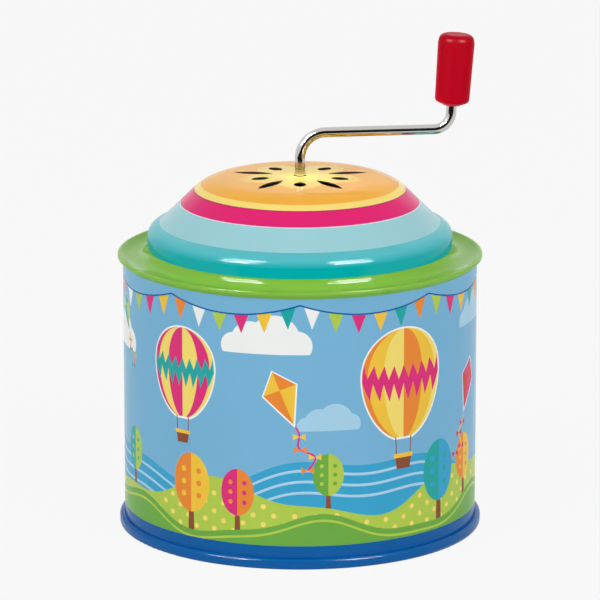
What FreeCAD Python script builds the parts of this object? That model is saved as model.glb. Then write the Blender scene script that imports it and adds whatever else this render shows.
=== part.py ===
import FreeCAD, Part
import math
import os
import Sketcher
from FreeCAD import Placement, Rotation, Vector

# A hand-cranked tin music box: a printed tin drum with a domed lid, a bent wire crank with a plastic
# grip, and inside a comb movement on the base that the crank turns through a worm and a wheel.
# Millimetres. The origin is on the table under the middle of the tin, +Z is up, the front is -Y and
# the crank's arm points along +X.

doc = FreeCAD.newDocument("tin_music_box")
sheet = doc.addObject("Spreadsheet::Sheet", "dim")

# Driving dimensions: name, value in millimetres, degrees or pieces, and what it measures.
DIMENSIONS = (
    # tinplate case
    ("tin", 0.3, "thickness of the tinplate"),
    ("body_radius", 51.0, "outside of the printed tube"),
    ("rim_overhang", 1.5, "how far the rims of lid and base stand out beyond the tube"),
    ("seam_gap", 0.1, "room around the tube's edges in the rims"),
    ("seam_wall", 0.6, "folded tin inside the tube at each rim"),
    ("lock_seam_width", 5.0, "width of the folded seam at the back of the tube"),
    ("lock_seam_rise", 0.3, "how far that seam stands out"),
    ("lock_seam_margin", 0.4, "from the seam's ends to the rims"),
    # base
    ("base_rim_height", 3.1, "height of the base's rim"),
    ("base_rim_round", 0.9, "rounding of the base's rim"),
    ("base_groove_floor", 0.9, "floor of the groove that holds the tube"),
    ("panel_height", 2.5, "top of the recessed base panel above the table"),
    # lid
    ("lid_seat", 78.0, "lower edge of the lid's rim above the table"),
    ("lid_groove_depth", 1.1, "how far the tube enters the lid's rim"),
    ("lid_skirt_depth", 1.0, "how far the lid reaches down inside the tube"),
    ("gutter_rise", 1.1, "floor of the lid's gutter above the lid's lower edge"),
    ("rim_depth", 2.2, "crest of the lid's rim above its lower edge"),
    ("crest_width", 0.9, "width of the crest"),
    ("crest_height", 0.9, "upright part of the crest"),
    ("crest_round", 0.4, "rounding of the crest"),
    ("cove_round", 3.2, "hollow curve from the dome's wall to the gutter"),
    ("gutter_width", 6.1, "from the dome's upright wall to the inside of the rim"),
    ("shoulder_round", 3.6, "rounded shoulder above the wall"),
    ("shoulder_drop", 0.9, "slope of the shoulder, from its bend to the wall"),
    ("shoulder_width", 3.4, "from the upright wall in to the bend of the cone"),
    ("bend_round", 2.5, "rounding of that bend"),
    ("cone_width", 13.2, "from that bend in to the crown"),
    ("cone_drop", 13.0, "height of the cone"),
    ("crown_round", 14.0, "rounding from the crown to the cone"),
    ("crown_rise", 0.8, "rise of the crown at its middle"),
    ("slot_count", 5, "sound slots of each kind"),
    ("long_slot_start", 8.2, "inner end of a long slot from the axis"),
    ("long_slot_end", 20.3, "outer end of a long slot"),
    ("long_slot_width", 3.2, "widest place of a long slot"),
    ("short_slot_start", 9.3, "inner end of a short slot from the axis"),
    ("short_slot_end", 14.7, "outer end of a short slot"),
    ("short_slot_width", 3.5, "widest place of a short slot"),
    ("crank_hole_gap", 0.4, "room around the wire in the lid"),
    # crank
    ("wire_radius", 1.5, "crank wire"),
    ("arm_clearance", 12.45, "where the arm's line meets the axis, above the lid"),
    ("arm_rise", 1.6, "degrees by which the arm climbs outwards"),
    ("arm_reach", 42.9, "from the axis to the upper corner"),
    ("lower_bend", 7.6, "bend radius at the foot of the arm"),
    ("upper_bend", 5.0, "bend radius under the grip"),
    ("grip_lean", 3.8, "degrees by which the grip leans outwards"),
    ("grip_offset", 6.95, "along the wire from the upper corner to the grip"),
    ("grip_length", 20.6, "length of the grip"),
    ("grip_foot_radius", 4.95, "lower end of the grip, above its cone"),
    ("grip_top_radius", 5.25, "upper end of the grip, under its cap"),
    ("grip_cone_height", 1.2, "cone under the grip"),
    ("grip_cone_radius", 2.4, "foot of the cone"),
    ("grip_cap_height", 2.3, "rounded cap of the grip"),
    ("grip_cap_step", 0.15, "step between the cap and the side"),
    ("grip_cap_round", 1.9, "rounding of the cap"),
    ("grip_foot_round", 1.2, "rounding between the side and the cone"),
    ("wire_in_grip", 17.0, "length of wire inside the grip"),
    ("head_start", 10.5, "from the grip's lower end to the swaged head"),
    ("head_length", 2.4, "swaged head that holds the grip"),
    ("head_height", 0.3, "how far the head stands out of the wire"),
    ("head_play", 0.2, "room before and after the head and the wire's end"),
    ("running_gap", 0.06, "radial room of everything that turns"),
    ("fit_gap", 0.03, "radial room of everything that is pressed or screwed"),
    ("end_play", 0.1, "axial room of everything that turns"),
    ("collar_radius", 4.0, "push-on collar under the lid"),
    ("collar_thickness", 1.2, "its thickness"),
    ("collar_gap", 0.35, "from the collar to the lid"),
    # bedplate
    ("washer_radius", 3.4, "fibre washers under the posts"),
    ("washer_thickness", 0.8, "their thickness"),
    ("post_radius", 3.0, "posts of the bedplate"),
    ("post_height", 2.2, "their height"),
    ("post_circle", 17.0, "radius of the circle of posts"),
    ("bedplate_thickness", 3.0, "plate of the movement"),
    ("bedplate_margin", 1.6, "plate beyond what stands on it"),
    ("bedplate_round", 3.0, "its corners"),
    ("boss_radius", 5.2, "boss under the crank wire"),
    ("boss_height", 4.0, "its height"),
    # screws
    ("screw_radius", 1.0, "shank of every screw"),
    ("screw_length", 5.0, "shank of every screw"),
    ("screw_head_radius", 1.9, "head of every screw"),
    ("screw_head_height", 1.3, "head of every screw"),
    ("screw_slot_width", 0.5, "slot of every screw"),
    ("screw_slot_depth", 0.5, "slot of every screw"),
    # worm drive
    ("tooth_module", 0.75, "module of worm and wheel"),
    ("wheel_teeth", 24, "teeth of the wheel"),
    ("worm_pitch_radius", 4.0, "pitch radius of the worm"),
    ("worm_turns", 2, "whole turns of thread above and below the wheel's axis"),
    ("tooth_share", 0.42, "tooth width at the pitch line, as a share of the pitch"),
    ("pressure_angle", 20.0, "degrees of the tooth flanks"),
    ("root_depth", 0.94, "pitch line to tooth root"),
    ("wheel_face", 4.0, "width of the wheel"),
    ("hub_length", 4.0, "plain hub above the worm's thread"),
    ("pin_hole_drop", 1.6, "from the top of the hub to the spring pin"),
    ("spring_pin_radius", 0.6, "spring pin of the worm"),
    ("thrust_washer_radius", 3.4, "washer under the worm"),
    ("thrust_washer_thickness", 0.8, "its thickness"),
    # bushes
    ("bush_wall", 0.9, "wall of every bush"),
    ("bush_flange_width", 0.9, "flange beyond the wall"),
    ("bush_flange_thickness", 0.8, "flange of every bush"),
    ("footstep_floor", 1.5, "brass under the wire's foot"),
    # bridge over the worm
    ("strip_thickness", 1.5, "steel strip of bridge and brackets"),
    ("bridge_width", 8.0, "width of the bridge"),
    ("bridge_offset", 8.5, "from the axis to the bridge's upright"),
    ("bridge_overhang", 4.6, "bridge beyond the axis"),
    ("bridge_foot", 11.0, "length of the bridge's foot"),
    ("bridge_screw_spacing", 4.6, "between the bridge's screws, and from the upright"),
    # cylinder
    ("arbor_height", 15.5, "arbor above the bedplate"),
    ("arbor_radius", 1.25, "steel arbor"),
    ("barrel_radius", 6.5, "outside of the barrel"),
    ("barrel_wall", 0.6, "wall of the barrel"),
    ("spigot_length", 3.0, "how far wheel and cap reach into the barrel"),
    ("cap_thickness", 1.0, "cap at the far end of the barrel"),
    ("hub_radius", 3.2, "hubs of wheel and cap"),
    ("pin_height", 0.6, "pins of the barrel"),
    ("pin_radius", 0.25, "pins of the barrel"),
    ("bracket_width", 10.0, "width of the arbor's brackets"),
    ("bracket_gap", 3.2, "from wheel or cap to its bracket"),
    ("bracket_foot", 9.0, "length of a bracket's foot"),
    # comb
    ("comb_teeth", 18, "teeth of the comb and tracks on the barrel"),
    ("track_pitch", 1.1, "from track to track"),
    ("first_track", 4.4, "from the barrel's end to the first track"),
    ("last_margin", 1.4, "from the last track to the barrel's other end"),
    ("comb_gap", 0.2, "from the pins to the comb"),
    ("comb_rise", 0.4, "top of the comb above the arbor's axis"),
    ("comb_thickness", 1.6, "back of the comb"),
    ("tooth_thickness", 0.8, "teeth of the comb"),
    ("short_tooth", 9.7, "free length of the shortest tooth"),
    ("long_tooth", 17.7, "free length of the longest tooth"),
    ("saw_cut", 0.25, "gap between teeth"),
    ("rail_depth", 8.0, "rail of the bedplate under the comb"),
    ("comb_screw_inset", 4.0, "comb's screws from its back and sides"),
    ("weight_count", 5, "teeth with a tuning weight"),
    ("weight_length", 4.0, "tuning weight"),
    ("weight_height", 1.2, "tuning weight"),
    ("weight_inset", 2.0, "from a tooth's tip to its weight"),
)
for row, (alias, value, meaning) in enumerate(DIMENSIONS, start=1):
    sheet.set(f"A{row}", meaning)
    sheet.set(f"B{row}", str(value))
    sheet.setAlias(f"B{row}", alias)
doc.recompute()

sub_parts = []


def mm(formula):
    """The number that a formula of the sheet gives."""
    return float(sheet.evalExpression(formula))


def add_sub_part(kind, label):
    piece = doc.addObject(kind, label)
    sub_parts.append(piece)
    return piece


def new_body(label, separate_solids=False):
    body = add_sub_part("PartDesign::Body", label)
    body.AllowCompound = separate_solids
    return body


def origin_feature(body, role):
    return next(feature for feature in body.Origin.OriginFeatures if feature.Role == role)


def sketch_on(body, plane, height="0"):
    """A sketch on one of the body's own planes, moved along its normal by a formula."""
    sketch = body.newObject("Sketcher::SketchObject", f"{body.Label}_sketch")
    sketch.AttachmentSupport = (origin_feature(body, plane), [""])
    sketch.MapMode = "FlatFace"
    sketch.setExpression("AttachmentOffset.Base.z", height)
    return sketch


def constrain(sketch, constraint, formula):
    index = sketch.addConstraint(constraint)
    sketch.setExpression(f"Constraints[{index}]", formula)


def fix_point(sketch, geometry, point, x, y):
    """Ties a point of the sketch to two formulas, measured from the sketch's origin."""
    constrain(sketch, Sketcher.Constraint("DistanceX", -1, 1, geometry, point, mm(x)), x)
    constrain(sketch, Sketcher.Constraint("DistanceY", -1, 1, geometry, point, mm(y)), y)


def draw_circle(sketch, x, y, radius):
    circle = sketch.addGeometry(Part.Circle(Vector(mm(x), mm(y), 0), Vector(0, 0, 1), mm(radius)))
    fix_point(sketch, circle, 3, x, y)
    constrain(sketch, Sketcher.Constraint("Radius", circle, mm(radius)), radius)


def draw_outline(sketch, corners, arc_after=None):
    """A closed outline of straight lines; the one after corner arc_after is an arc about the V axis."""
    places = [Vector(mm(x), mm(y), 0) for x, y in corners]
    count = len(corners)
    first = sketch.GeometryCount
    starts, ends = [1] * count, [2] * count
    for index, start in enumerate(places):
        end = places[(index + 1) % count]
        if index == arc_after:
            sketch.addGeometry(crown_arc(start, end))
            starts[index], ends[index] = (1, 2) if start.x > end.x else (2, 1)
        else:
            sketch.addGeometry(Part.LineSegment(start, end))
    for index, (x, y) in enumerate(corners):
        after = (index + 1) % count
        join = Sketcher.Constraint("Coincident", first + index, ends[index], first + after, starts[after])
        sketch.addConstraint(join)
        fix_point(sketch, first + index, starts[index], x, y)
    if arc_after is not None:
        sketch.addConstraint(Sketcher.Constraint("PointOnObject", first + arc_after, 3, -2))


def crown_arc(start, end):
    """The flat arc from one point to another whose centre is below them on the V axis."""
    span, rise = abs(start.x - end.x), abs(start.y - end.y)
    radius = (span**2 + rise**2) / (2 * rise)
    centre = Vector(0, max(start.y, end.y) - radius, 0)
    angles = sorted(math.atan2(point.y - centre.y, point.x - centre.x) for point in (start, end))
    return Part.ArcOfCircle(Part.Circle(centre, Vector(0, 0, 1), radius), *angles)


def rectangle(x_low, x_high, y_low, y_high):
    return [(x_low, y_low), (x_high, y_low), (x_high, y_high), (x_low, y_high)]


def add_feature(sketch, kind):
    body = sketch.getParentGeoFeatureGroup()
    feature = body.newObject(f"PartDesign::{kind}", f"{body.Label}_{kind.lower()}")
    feature.Profile = sketch
    return feature


def pad(sketch, length, symmetric=False, downwards=False):
    feature = add_feature(sketch, "Pad")
    feature.setExpression("Length", length)
    feature.SideType = "Symmetric" if symmetric else "One side"
    feature.Reversed = downwards
    doc.recompute()
    return feature


def pocket(sketch, depth, upwards=False):
    """Cuts to a depth against the sketch's normal, or along it."""
    feature = add_feature(sketch, "Pocket")
    feature.setExpression("Length", depth)
    feature.Reversed = upwards
    doc.recompute()
    return feature


def pocket_through(sketch):
    feature = add_feature(sketch, "Pocket")
    feature.Type = "ThroughAll"
    feature.SideType = "Symmetric"
    doc.recompute()
    return feature


def turn(sketch, kind="Revolution"):
    """Turns a sketch about its V axis, as solid (Revolution) or as cut (Groove)."""
    feature = add_feature(sketch, kind)
    feature.ReferenceAxis = (sketch, ["V_Axis"])
    feature.Angle = 360
    doc.recompute()
    return feature


def round_ring(body, ring_radius, ring_height, radius):
    """Rounds the circular edge of that radius and height."""
    base = body.Tip
    edges = []
    for number, edge in enumerate(base.Shape.Edges, start=1):
        if not edge.Degenerated and isinstance(edge.Curve, Part.Circle):
            radius_off = abs(edge.Curve.Radius - mm(ring_radius))
            height_off = abs(edge.Curve.Center.z - mm(ring_height))
            if max(radius_off, height_off) < 1e-4:
                edges.append(f"Edge{number}")
    round_edges(body, edges, radius)


def round_upright_edges(body, places, radius):
    """Rounds the upright edges that stand at these places."""
    edges = []
    for number, edge in enumerate(body.Tip.Shape.Edges, start=1):
        middle = edge.CenterOfMass
        upright = edge.BoundBox.XLength + edge.BoundBox.YLength < 1e-4
        if upright and any(math.hypot(middle.x - mm(x), middle.y - mm(y)) < 1e-4 for x, y in places):
            edges.append(f"Edge{number}")
    round_edges(body, edges, radius)


def round_edges(body, edges, radius):
    base = body.Tip
    feature = body.newObject("PartDesign::Fillet", f"{body.Label}_round")
    feature.Base = (base, edges)
    feature.setExpression("Radius", radius)
    doc.recompute()


def repeat_around(body, feature, count):
    pattern = body.newObject("PartDesign::PolarPattern", f"{body.Label}_pattern")
    pattern.Originals = [feature]
    pattern.Axis = (origin_feature(body, "Z_Axis"), [""])
    pattern.Angle = 360
    pattern.setExpression("Occurrences", count)
    body.Tip = pattern
    doc.recompute()


def place(piece, x="0", y="0", z="0", rotation=Rotation()):
    piece.Placement = Placement(Vector(), rotation)
    for axis, formula in zip("xyz", (x, y, z)):
        piece.setExpression(f"Placement.Base.{axis}", formula)


def ring(label, inner, outer, bottom, thickness):
    body = new_body(label)
    sketch = sketch_on(body, "XY_Plane", bottom)
    for radius in (outer, inner):
        draw_circle(sketch, "0", "0", radius)
    pad(sketch, thickness)
    return body


def turned(label, corners):
    """A piece turned about its own Z axis from an outline of radius and height."""
    body = new_body(label)
    sketch = sketch_on(body, "XZ_Plane")
    draw_outline(sketch, corners)
    turn(sketch)
    return body


def screws(label, places, seat, head_down=False):
    """Like slotted screws with their heads seated at one height."""
    body = new_body(label, separate_solids=True)
    head_end = f"{seat} {'-' if head_down else '+'} dim.screw_head_height"
    heads = sketch_on(body, "XY_Plane", seat)
    shanks = sketch_on(body, "XY_Plane", seat)
    slots = sketch_on(body, "XY_Plane", head_end)
    for x, y in places:
        draw_circle(heads, x, y, "dim.screw_head_radius")
        draw_circle(shanks, x, y, "dim.screw_radius")
        half = "dim.screw_slot_width / 2"
        reach = "dim.screw_head_radius * 1.1"
        draw_outline(slots, rectangle(f"{x} - {reach}", f"{x} + {reach}", f"{y} - {half}", f"{y} + {half}"))
    pad(heads, "dim.screw_head_height", downwards=head_down)
    pad(shanks, "dim.screw_length", downwards=not head_down)
    pocket(slots, "dim.screw_slot_depth", upwards=head_down)
    return body


def drill(body, places, height, depth, radius, upwards=False):
    sketch = sketch_on(body, "XY_Plane", height)
    for x, y in places:
        draw_circle(sketch, x, y, radius)
    pocket(sketch, depth, upwards)


# Places and levels that several pieces share, worked out from the dimensions.
screw_hole = "(dim.screw_radius + dim.fit_gap)"
wire_bore = "(dim.wire_radius + dim.running_gap)"
wire_seat = "(dim.wire_radius + dim.fit_gap)"
tube_inside = "(dim.body_radius - dim.tin)"
rim_radius = "(dim.body_radius + dim.rim_overhang)"
groove_outside = "(dim.body_radius + dim.seam_gap)"
groove_inside = f"({tube_inside} - dim.seam_gap)"
seam_inside = f"({groove_inside} - dim.seam_wall)"

panel_underside = "(dim.panel_height - dim.tin)"
post_foot = "(dim.panel_height + dim.washer_thickness)"
bedplate_underside = f"({post_foot} + dim.post_height)"
bedplate_top = f"({bedplate_underside} + dim.bedplate_thickness)"
boss_top = f"({bedplate_top} + dim.boss_height)"
strip_top = f"({bedplate_top} + dim.strip_thickness)"
footstep_top = f"({boss_top} + dim.bush_flange_thickness)"
worm_foot = f"({footstep_top} + dim.end_play + dim.thrust_washer_thickness)"
arbor_z = f"({bedplate_top} + dim.arbor_height)"

axial_pitch = "(pi * dim.tooth_module)"
wheel_pitch_radius = "(dim.tooth_module * dim.wheel_teeth / 2)"
wheel_root = f"({wheel_pitch_radius} - dim.root_depth)"
wheel_tip = f"({wheel_pitch_radius} + dim.tooth_module)"
worm_root = "(dim.worm_pitch_radius - dim.root_depth)"
worm_tip = "(dim.worm_pitch_radius + dim.tooth_module)"
arbor_y = f"(dim.worm_pitch_radius + {wheel_pitch_radius})"
thread_half = f"((dim.worm_turns + 0.25) * {axial_pitch})"
thread_room = f"({thread_half} + {axial_pitch} / 2)"
worm_top = f"({arbor_z} + {thread_room} + dim.hub_length)"
spring_pin_z = f"({worm_top} - dim.pin_hole_drop)"
bridge_underside = f"({worm_top} + dim.end_play + dim.bush_flange_thickness)"
bridge_top = f"({bridge_underside} + dim.strip_thickness)"
wire_foot = f"({bedplate_underside} + dim.footstep_floor + dim.end_play)"
wire_bush = f"({wire_bore} + dim.bush_wall)"
wire_bush_flange = f"({wire_bush} + dim.bush_flange_width)"

barrel_start = "(dim.wheel_face / 2)"
barrel_length = "(dim.first_track + (dim.comb_teeth - 1) * dim.track_pitch + dim.last_margin)"
barrel_end = f"({barrel_start} + {barrel_length})"
cap_face = f"({barrel_end} + dim.cap_thickness)"
left_face = "(-dim.wheel_face / 2 - dim.bracket_gap)"
left_outside = f"({left_face} - dim.strip_thickness)"
right_face = f"({cap_face} + dim.bracket_gap)"
right_outside = f"({right_face} + dim.strip_thickness)"
bracket_front = f"({arbor_y} - dim.bracket_width / 2)"
bracket_back = f"({arbor_y} + dim.bracket_width / 2)"
arbor_bore = "(dim.arbor_radius + dim.running_gap)"
arbor_seat = "(dim.arbor_radius + dim.fit_gap)"
arbor_bush = f"({arbor_bore} + dim.bush_wall)"
arbor_bush_flange = f"({arbor_bush} + dim.bush_flange_width)"
hub_reach = "(dim.bracket_gap - dim.bush_flange_thickness - dim.end_play)"
barrel_inside = "(dim.barrel_radius - dim.barrel_wall)"
spigot_radius = f"({barrel_inside} - dim.fit_gap)"

comb_left = f"({barrel_start} + dim.first_track - dim.track_pitch / 2)"
comb_right = f"({comb_left} + dim.comb_teeth * dim.track_pitch)"
comb_tips = f"({arbor_y} - dim.barrel_radius - dim.pin_height - dim.comb_gap)"
comb_back = f"({comb_tips} - dim.long_tooth - dim.rail_depth)"
comb_top = f"({arbor_z} + dim.comb_rise)"
comb_underside = f"({comb_top} - dim.comb_thickness)"
tooth_underside = f"({comb_top} - dim.tooth_thickness)"

plate_left = f"({left_outside} - dim.bedplate_margin)"
plate_right = f"({right_outside} + dim.bedplate_margin)"
plate_front = f"({comb_back} - dim.bedplate_margin)"
plate_back = f"({bracket_back} + dim.bedplate_margin)"
plate_x = f"(({plate_left} + {plate_right}) / 2)"
plate_y = f"(({plate_front} + {plate_back}) / 2)"
post_places = [
    (f"({plate_x} + dim.post_circle * cos({angle}))", f"({plate_y} + dim.post_circle * sin({angle}))")
    for angle in (90, 210, 330)
]
bridge_back = "(-dim.bridge_offset - dim.strip_thickness)"
bridge_screw_places = [
    ("0", f"({bridge_back} - dim.bridge_screw_spacing * {step})") for step in (0.7, 1.7)
]
bracket_screw_places = [
    (f"({left_face} + dim.bracket_foot * 0.6)", arbor_y),
    (f"({right_face} - dim.bracket_foot * 0.6)", arbor_y),
]
comb_screw_places = [
    (f"({comb_left} + dim.comb_screw_inset)", f"({comb_back} + dim.comb_screw_inset)"),
    (f"({comb_right} - dim.comb_screw_inset)", f"({comb_back} + dim.comb_screw_inset)"),
]

# Body shell: a tinplate sheet rolled into a tube, with its folded lock seam at the back.
tube_foot = "(dim.base_groove_floor + dim.seam_gap)"
tube_top = "(dim.lid_seat + dim.lid_groove_depth - dim.seam_gap)"
body_shell = ring("body_shell", tube_inside, "dim.body_radius", tube_foot, f"{tube_top} - {tube_foot}")
seam_sketch = sketch_on(body_shell, "XY_Plane", "dim.base_rim_height + dim.lock_seam_margin")
seam_half = "dim.lock_seam_width / 2"
seam_out = "dim.body_radius + dim.lock_seam_rise"
seam_in = "dim.body_radius - dim.tin / 2"
draw_outline(seam_sketch, rectangle(f"-{seam_half}", seam_half, seam_in, seam_out))
pad(seam_sketch, "dim.lid_seat - dim.base_rim_height - 2 * dim.lock_seam_margin")

# Base plate: a pressed tin with a rolled rim whose groove holds the tube, and a raised panel.
base_plate = turned(
    "base_plate",
    [
        ("0", panel_underside),
        (seam_inside, panel_underside),
        (seam_inside, "0"),
        (rim_radius, "0"),
        (rim_radius, "dim.base_rim_height"),
        (groove_outside, "dim.base_rim_height"),
        (groove_outside, "dim.base_groove_floor"),
        (groove_inside, "dim.base_groove_floor"),
        (groove_inside, "dim.panel_height"),
        ("0", "dim.panel_height"),
    ],
)
for edge_height in ("0", "dim.base_rim_height"):
    round_ring(base_plate, rim_radius, edge_height, "dim.base_rim_round")
drill(base_plate, post_places, "dim.panel_height", "dim.tin", screw_hole)

# Lid: pressed from one sheet. A nearly flat crown, a cone, a rounded shoulder, an upright wall, a
# gutter and a rim that flares out over the tube's edge. The inside follows at the sheet's thickness.
gutter_floor = "(dim.lid_seat + dim.gutter_rise)"
rim_crest = "(dim.lid_seat + dim.rim_depth)"
groove_top = "(dim.lid_seat + dim.lid_groove_depth)"
skirt_foot = "(dim.lid_seat - dim.lid_skirt_depth)"
wall_radius = f"({seam_inside} - dim.gutter_width)"
bend_radius = f"({wall_radius} - dim.shoulder_width)"
crown_radius = f"({bend_radius} - dim.cone_width)"
wall_top = f"({gutter_floor} + dim.cove_round + dim.shoulder_round * 1.5)"
bend_height = f"({wall_top} + dim.shoulder_drop)"
crown_edge = f"({bend_height} + dim.cone_drop)"
lid_top = f"({crown_edge} + dim.crown_rise)"
lid = new_body("lid")
lid_outside = sketch_on(lid, "XZ_Plane")
draw_outline(
    lid_outside,
    [
        ("0", lid_top),
        (crown_radius, crown_edge),
        (bend_radius, bend_height),
        (wall_radius, wall_top),
        (wall_radius, gutter_floor),
        (seam_inside, gutter_floor),
        (f"{rim_radius} - dim.crest_width", rim_crest),
        (rim_radius, rim_crest),
        (rim_radius, f"{rim_crest} - dim.crest_height"),
        (groove_outside, "dim.lid_seat"),
        (groove_outside, groove_top),
        (groove_inside, groove_top),
        (groove_inside, skirt_foot),
        ("0", skirt_foot),
    ],
    arc_after=0,
)
turn(lid_outside)
round_ring(lid, crown_radius, crown_edge, "dim.crown_round")
round_ring(lid, bend_radius, bend_height, "dim.bend_round")
round_ring(lid, wall_radius, wall_top, "dim.shoulder_round")
round_ring(lid, wall_radius, gutter_floor, "dim.cove_round")
for crest_edge in (f"{rim_radius} - dim.crest_width", rim_radius):
    round_ring(lid, crest_edge, rim_crest, "dim.crest_round")

cone_slope = "(dim.cone_drop / dim.cone_width)"
shoulder_slope = "(dim.shoulder_drop / dim.shoulder_width)"
cone_sheet = f"(dim.tin * sqrt(1 + {cone_slope}^2))"
shoulder_sheet = f"(dim.tin * sqrt(1 + {shoulder_slope}^2))"
bend_shift = f"(({cone_sheet} - {shoulder_sheet}) / ({cone_slope} - {shoulder_slope}))"
inner_crown = f"({crown_radius} - ({cone_sheet} - dim.tin) / {cone_slope})"
inner_crown_edge = f"({crown_edge} - dim.tin)"
inner_bend = f"({bend_radius} - {bend_shift})"
inner_bend_height = f"({bend_height} + {shoulder_slope} * {bend_shift} - {shoulder_sheet})"
inner_wall = f"({wall_radius} - dim.tin)"
inner_wall_top = f"({wall_top} + {shoulder_slope} * dim.tin - {shoulder_sheet})"
inner_floor = f"({gutter_floor} - dim.tin)"
lid_hollow = doc.addObject("PartDesign::Body", "lid_hollow")
lid_inside = sketch_on(lid_hollow, "XZ_Plane")
draw_outline(
    lid_inside,
    [
        ("0", f"{lid_top} - dim.tin"),
        (inner_crown, inner_crown_edge),
        (inner_bend, inner_bend_height),
        (inner_wall, inner_wall_top),
        (inner_wall, inner_floor),
        (seam_inside, inner_floor),
        (seam_inside, f"{skirt_foot} - dim.tin"),
        ("0", f"{skirt_foot} - dim.tin"),
    ],
    arc_after=0,
)
turn(lid_inside)
round_ring(lid_hollow, inner_crown, inner_crown_edge, "dim.crown_round - dim.tin")
round_ring(lid_hollow, inner_bend, inner_bend_height, "dim.bend_round + dim.tin")
round_ring(lid_hollow, inner_wall, inner_wall_top, "dim.shoulder_round - dim.tin")
round_ring(lid_hollow, inner_wall, inner_floor, "dim.cove_round + dim.tin")
lid_cut = lid.newObject("PartDesign::Boolean", "lid_cut")
lid_cut.Type = "Cut"
lid_cut.setObjects([lid_hollow])
doc.recompute()

hole_sketch = sketch_on(lid, "XY_Plane")
draw_circle(hole_sketch, "0", "0", "dim.wire_radius + dim.crank_hole_gap")
pocket_through(hole_sketch)


def cut_slots(kind, quadrant):
    """Pointed sound slots punched through the crown; the first one points along the quadrant."""
    sketch = sketch_on(lid, "XY_Plane")
    ends = [f"{quadrant} * dim.{kind}_slot_{end}" for end in ("start", "end")]
    low, high = sorted(mm(end) for end in ends)
    low_formula, high_formula = ends if quadrant > 0 else ends[::-1]
    width = f"dim.{kind}_slot_width"
    length = f"(dim.{kind}_slot_end - dim.{kind}_slot_start)"
    radius = f"({length}^2 + {width}^2) / (4 * {width})"
    middle = (low + high) / 2
    for side in (-1, 1):
        bulge = Vector(side * mm(width) / 2, middle, 0)
        sketch.addGeometry(Part.Arc(Vector(0, low, 0), bulge, Vector(0, high, 0)))
    sketch.addConstraint(Sketcher.Constraint("Coincident", 0, 2, 1, 1))
    sketch.addConstraint(Sketcher.Constraint("Coincident", 0, 1, 1, 2))
    fix_point(sketch, 1, 1, "0", low_formula)
    fix_point(sketch, 1, 2, "0", high_formula)
    for arc in (0, 1):
        constrain(sketch, Sketcher.Constraint("Radius", arc, mm(radius)), radius)
    repeat_around(lid, pocket_through(sketch), "dim.slot_count")


cut_slots("long", 1)
cut_slots("short", -1)

# Crank wire: one length of plated steel wire, from its foot in the movement up through the lid, bent
# over into the arm and up again into the grip, where a swaged head keeps the grip on.
arm_height = f"({lid_top} + dim.arm_clearance)"
corner_height = f"({arm_height} + dim.arm_reach * tan(dim.arm_rise))"
wire_end = "(dim.grip_offset + dim.wire_in_grip)"
crank_wire = new_body("crank_wire")
wire_section = sketch_on(crank_wire, "XY_Plane", wire_foot)
draw_circle(wire_section, "0", "0", "dim.wire_radius")
wire_path = sketch_on(crank_wire, "XZ_Plane")


def bend(corner, before, after, radius):
    """The arc that rounds a corner between two directions: its start, middle and end."""
    turn_angle = before.getAngle(after)
    tangent = radius * math.tan(turn_angle / 2)
    inward = (after - before).normalize()
    middle = corner + inward * radius * (1 / math.cos(turn_angle / 2) - 1)
    return corner - before * tangent, middle, corner + after * tangent


arm_rise, grip_lean = math.radians(mm("dim.arm_rise")), math.radians(mm("dim.grip_lean"))
up = Vector(0, 1, 0)
along_arm = Vector(math.cos(arm_rise), math.sin(arm_rise), 0)
along_grip = Vector(math.sin(grip_lean), math.cos(grip_lean), 0)
arm_corner = Vector(0, mm(arm_height), 0)
grip_corner = Vector(mm("dim.arm_reach"), mm(corner_height), 0)
lower_arc = bend(arm_corner, up, along_arm, mm("dim.lower_bend"))
upper_arc = bend(grip_corner, along_arm, along_grip, mm("dim.upper_bend"))
shaft = wire_path.addGeometry(Part.LineSegment(Vector(0, mm(wire_foot), 0), lower_arc[0]))
lower = wire_path.addGeometry(Part.Arc(*lower_arc))
arm = wire_path.addGeometry(Part.LineSegment(lower_arc[2], upper_arc[0]))
upper = wire_path.addGeometry(Part.Arc(*upper_arc))
tip = wire_path.addGeometry(Part.LineSegment(upper_arc[2], grip_corner + along_grip * mm(wire_end)))
arm_point = wire_path.addGeometry(Part.Point(arm_corner), True)
grip_point = wire_path.addGeometry(Part.Point(grip_corner), True)
fix_point(wire_path, shaft, 1, "0", wire_foot)
fix_point(wire_path, arm_point, 1, "0", arm_height)
for line, line_end, arc, arc_end in (
    (shaft, 2, lower, 2),
    (arm, 1, lower, 1),
    (arm, 2, upper, 1),
    (tip, 1, upper, 2),
):
    wire_path.addConstraint(Sketcher.Constraint("Tangent", line, line_end, arc, arc_end))
wire_path.addConstraint(Sketcher.Constraint("Vertical", shaft))
for point, line in ((arm_point, arm), (grip_point, arm), (grip_point, tip)):
    wire_path.addConstraint(Sketcher.Constraint("PointOnObject", point, 1, line))
reach = Sketcher.Constraint("DistanceX", -1, 1, grip_point, 1, mm("dim.arm_reach"))
constrain(wire_path, reach, "dim.arm_reach")
constrain(wire_path, Sketcher.Constraint("Radius", lower, mm("dim.lower_bend")), "dim.lower_bend")
constrain(wire_path, Sketcher.Constraint("Radius", upper, mm("dim.upper_bend")), "dim.upper_bend")
constrain(wire_path, Sketcher.Constraint("Angle", arm, arm_rise), "dim.arm_rise * 1 deg")
grip_angle = Sketcher.Constraint("Angle", tip, math.pi / 2 - grip_lean)
constrain(wire_path, grip_angle, "(90 - dim.grip_lean) * 1 deg")
constrain(wire_path, Sketcher.Constraint("Distance", grip_point, 1, tip, 2, mm(wire_end)), wire_end)
doc.recompute()
wire_sweep = add_feature(wire_section, "AdditivePipe")
wire_sweep.Spine = (wire_path, [])
doc.recompute()

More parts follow.
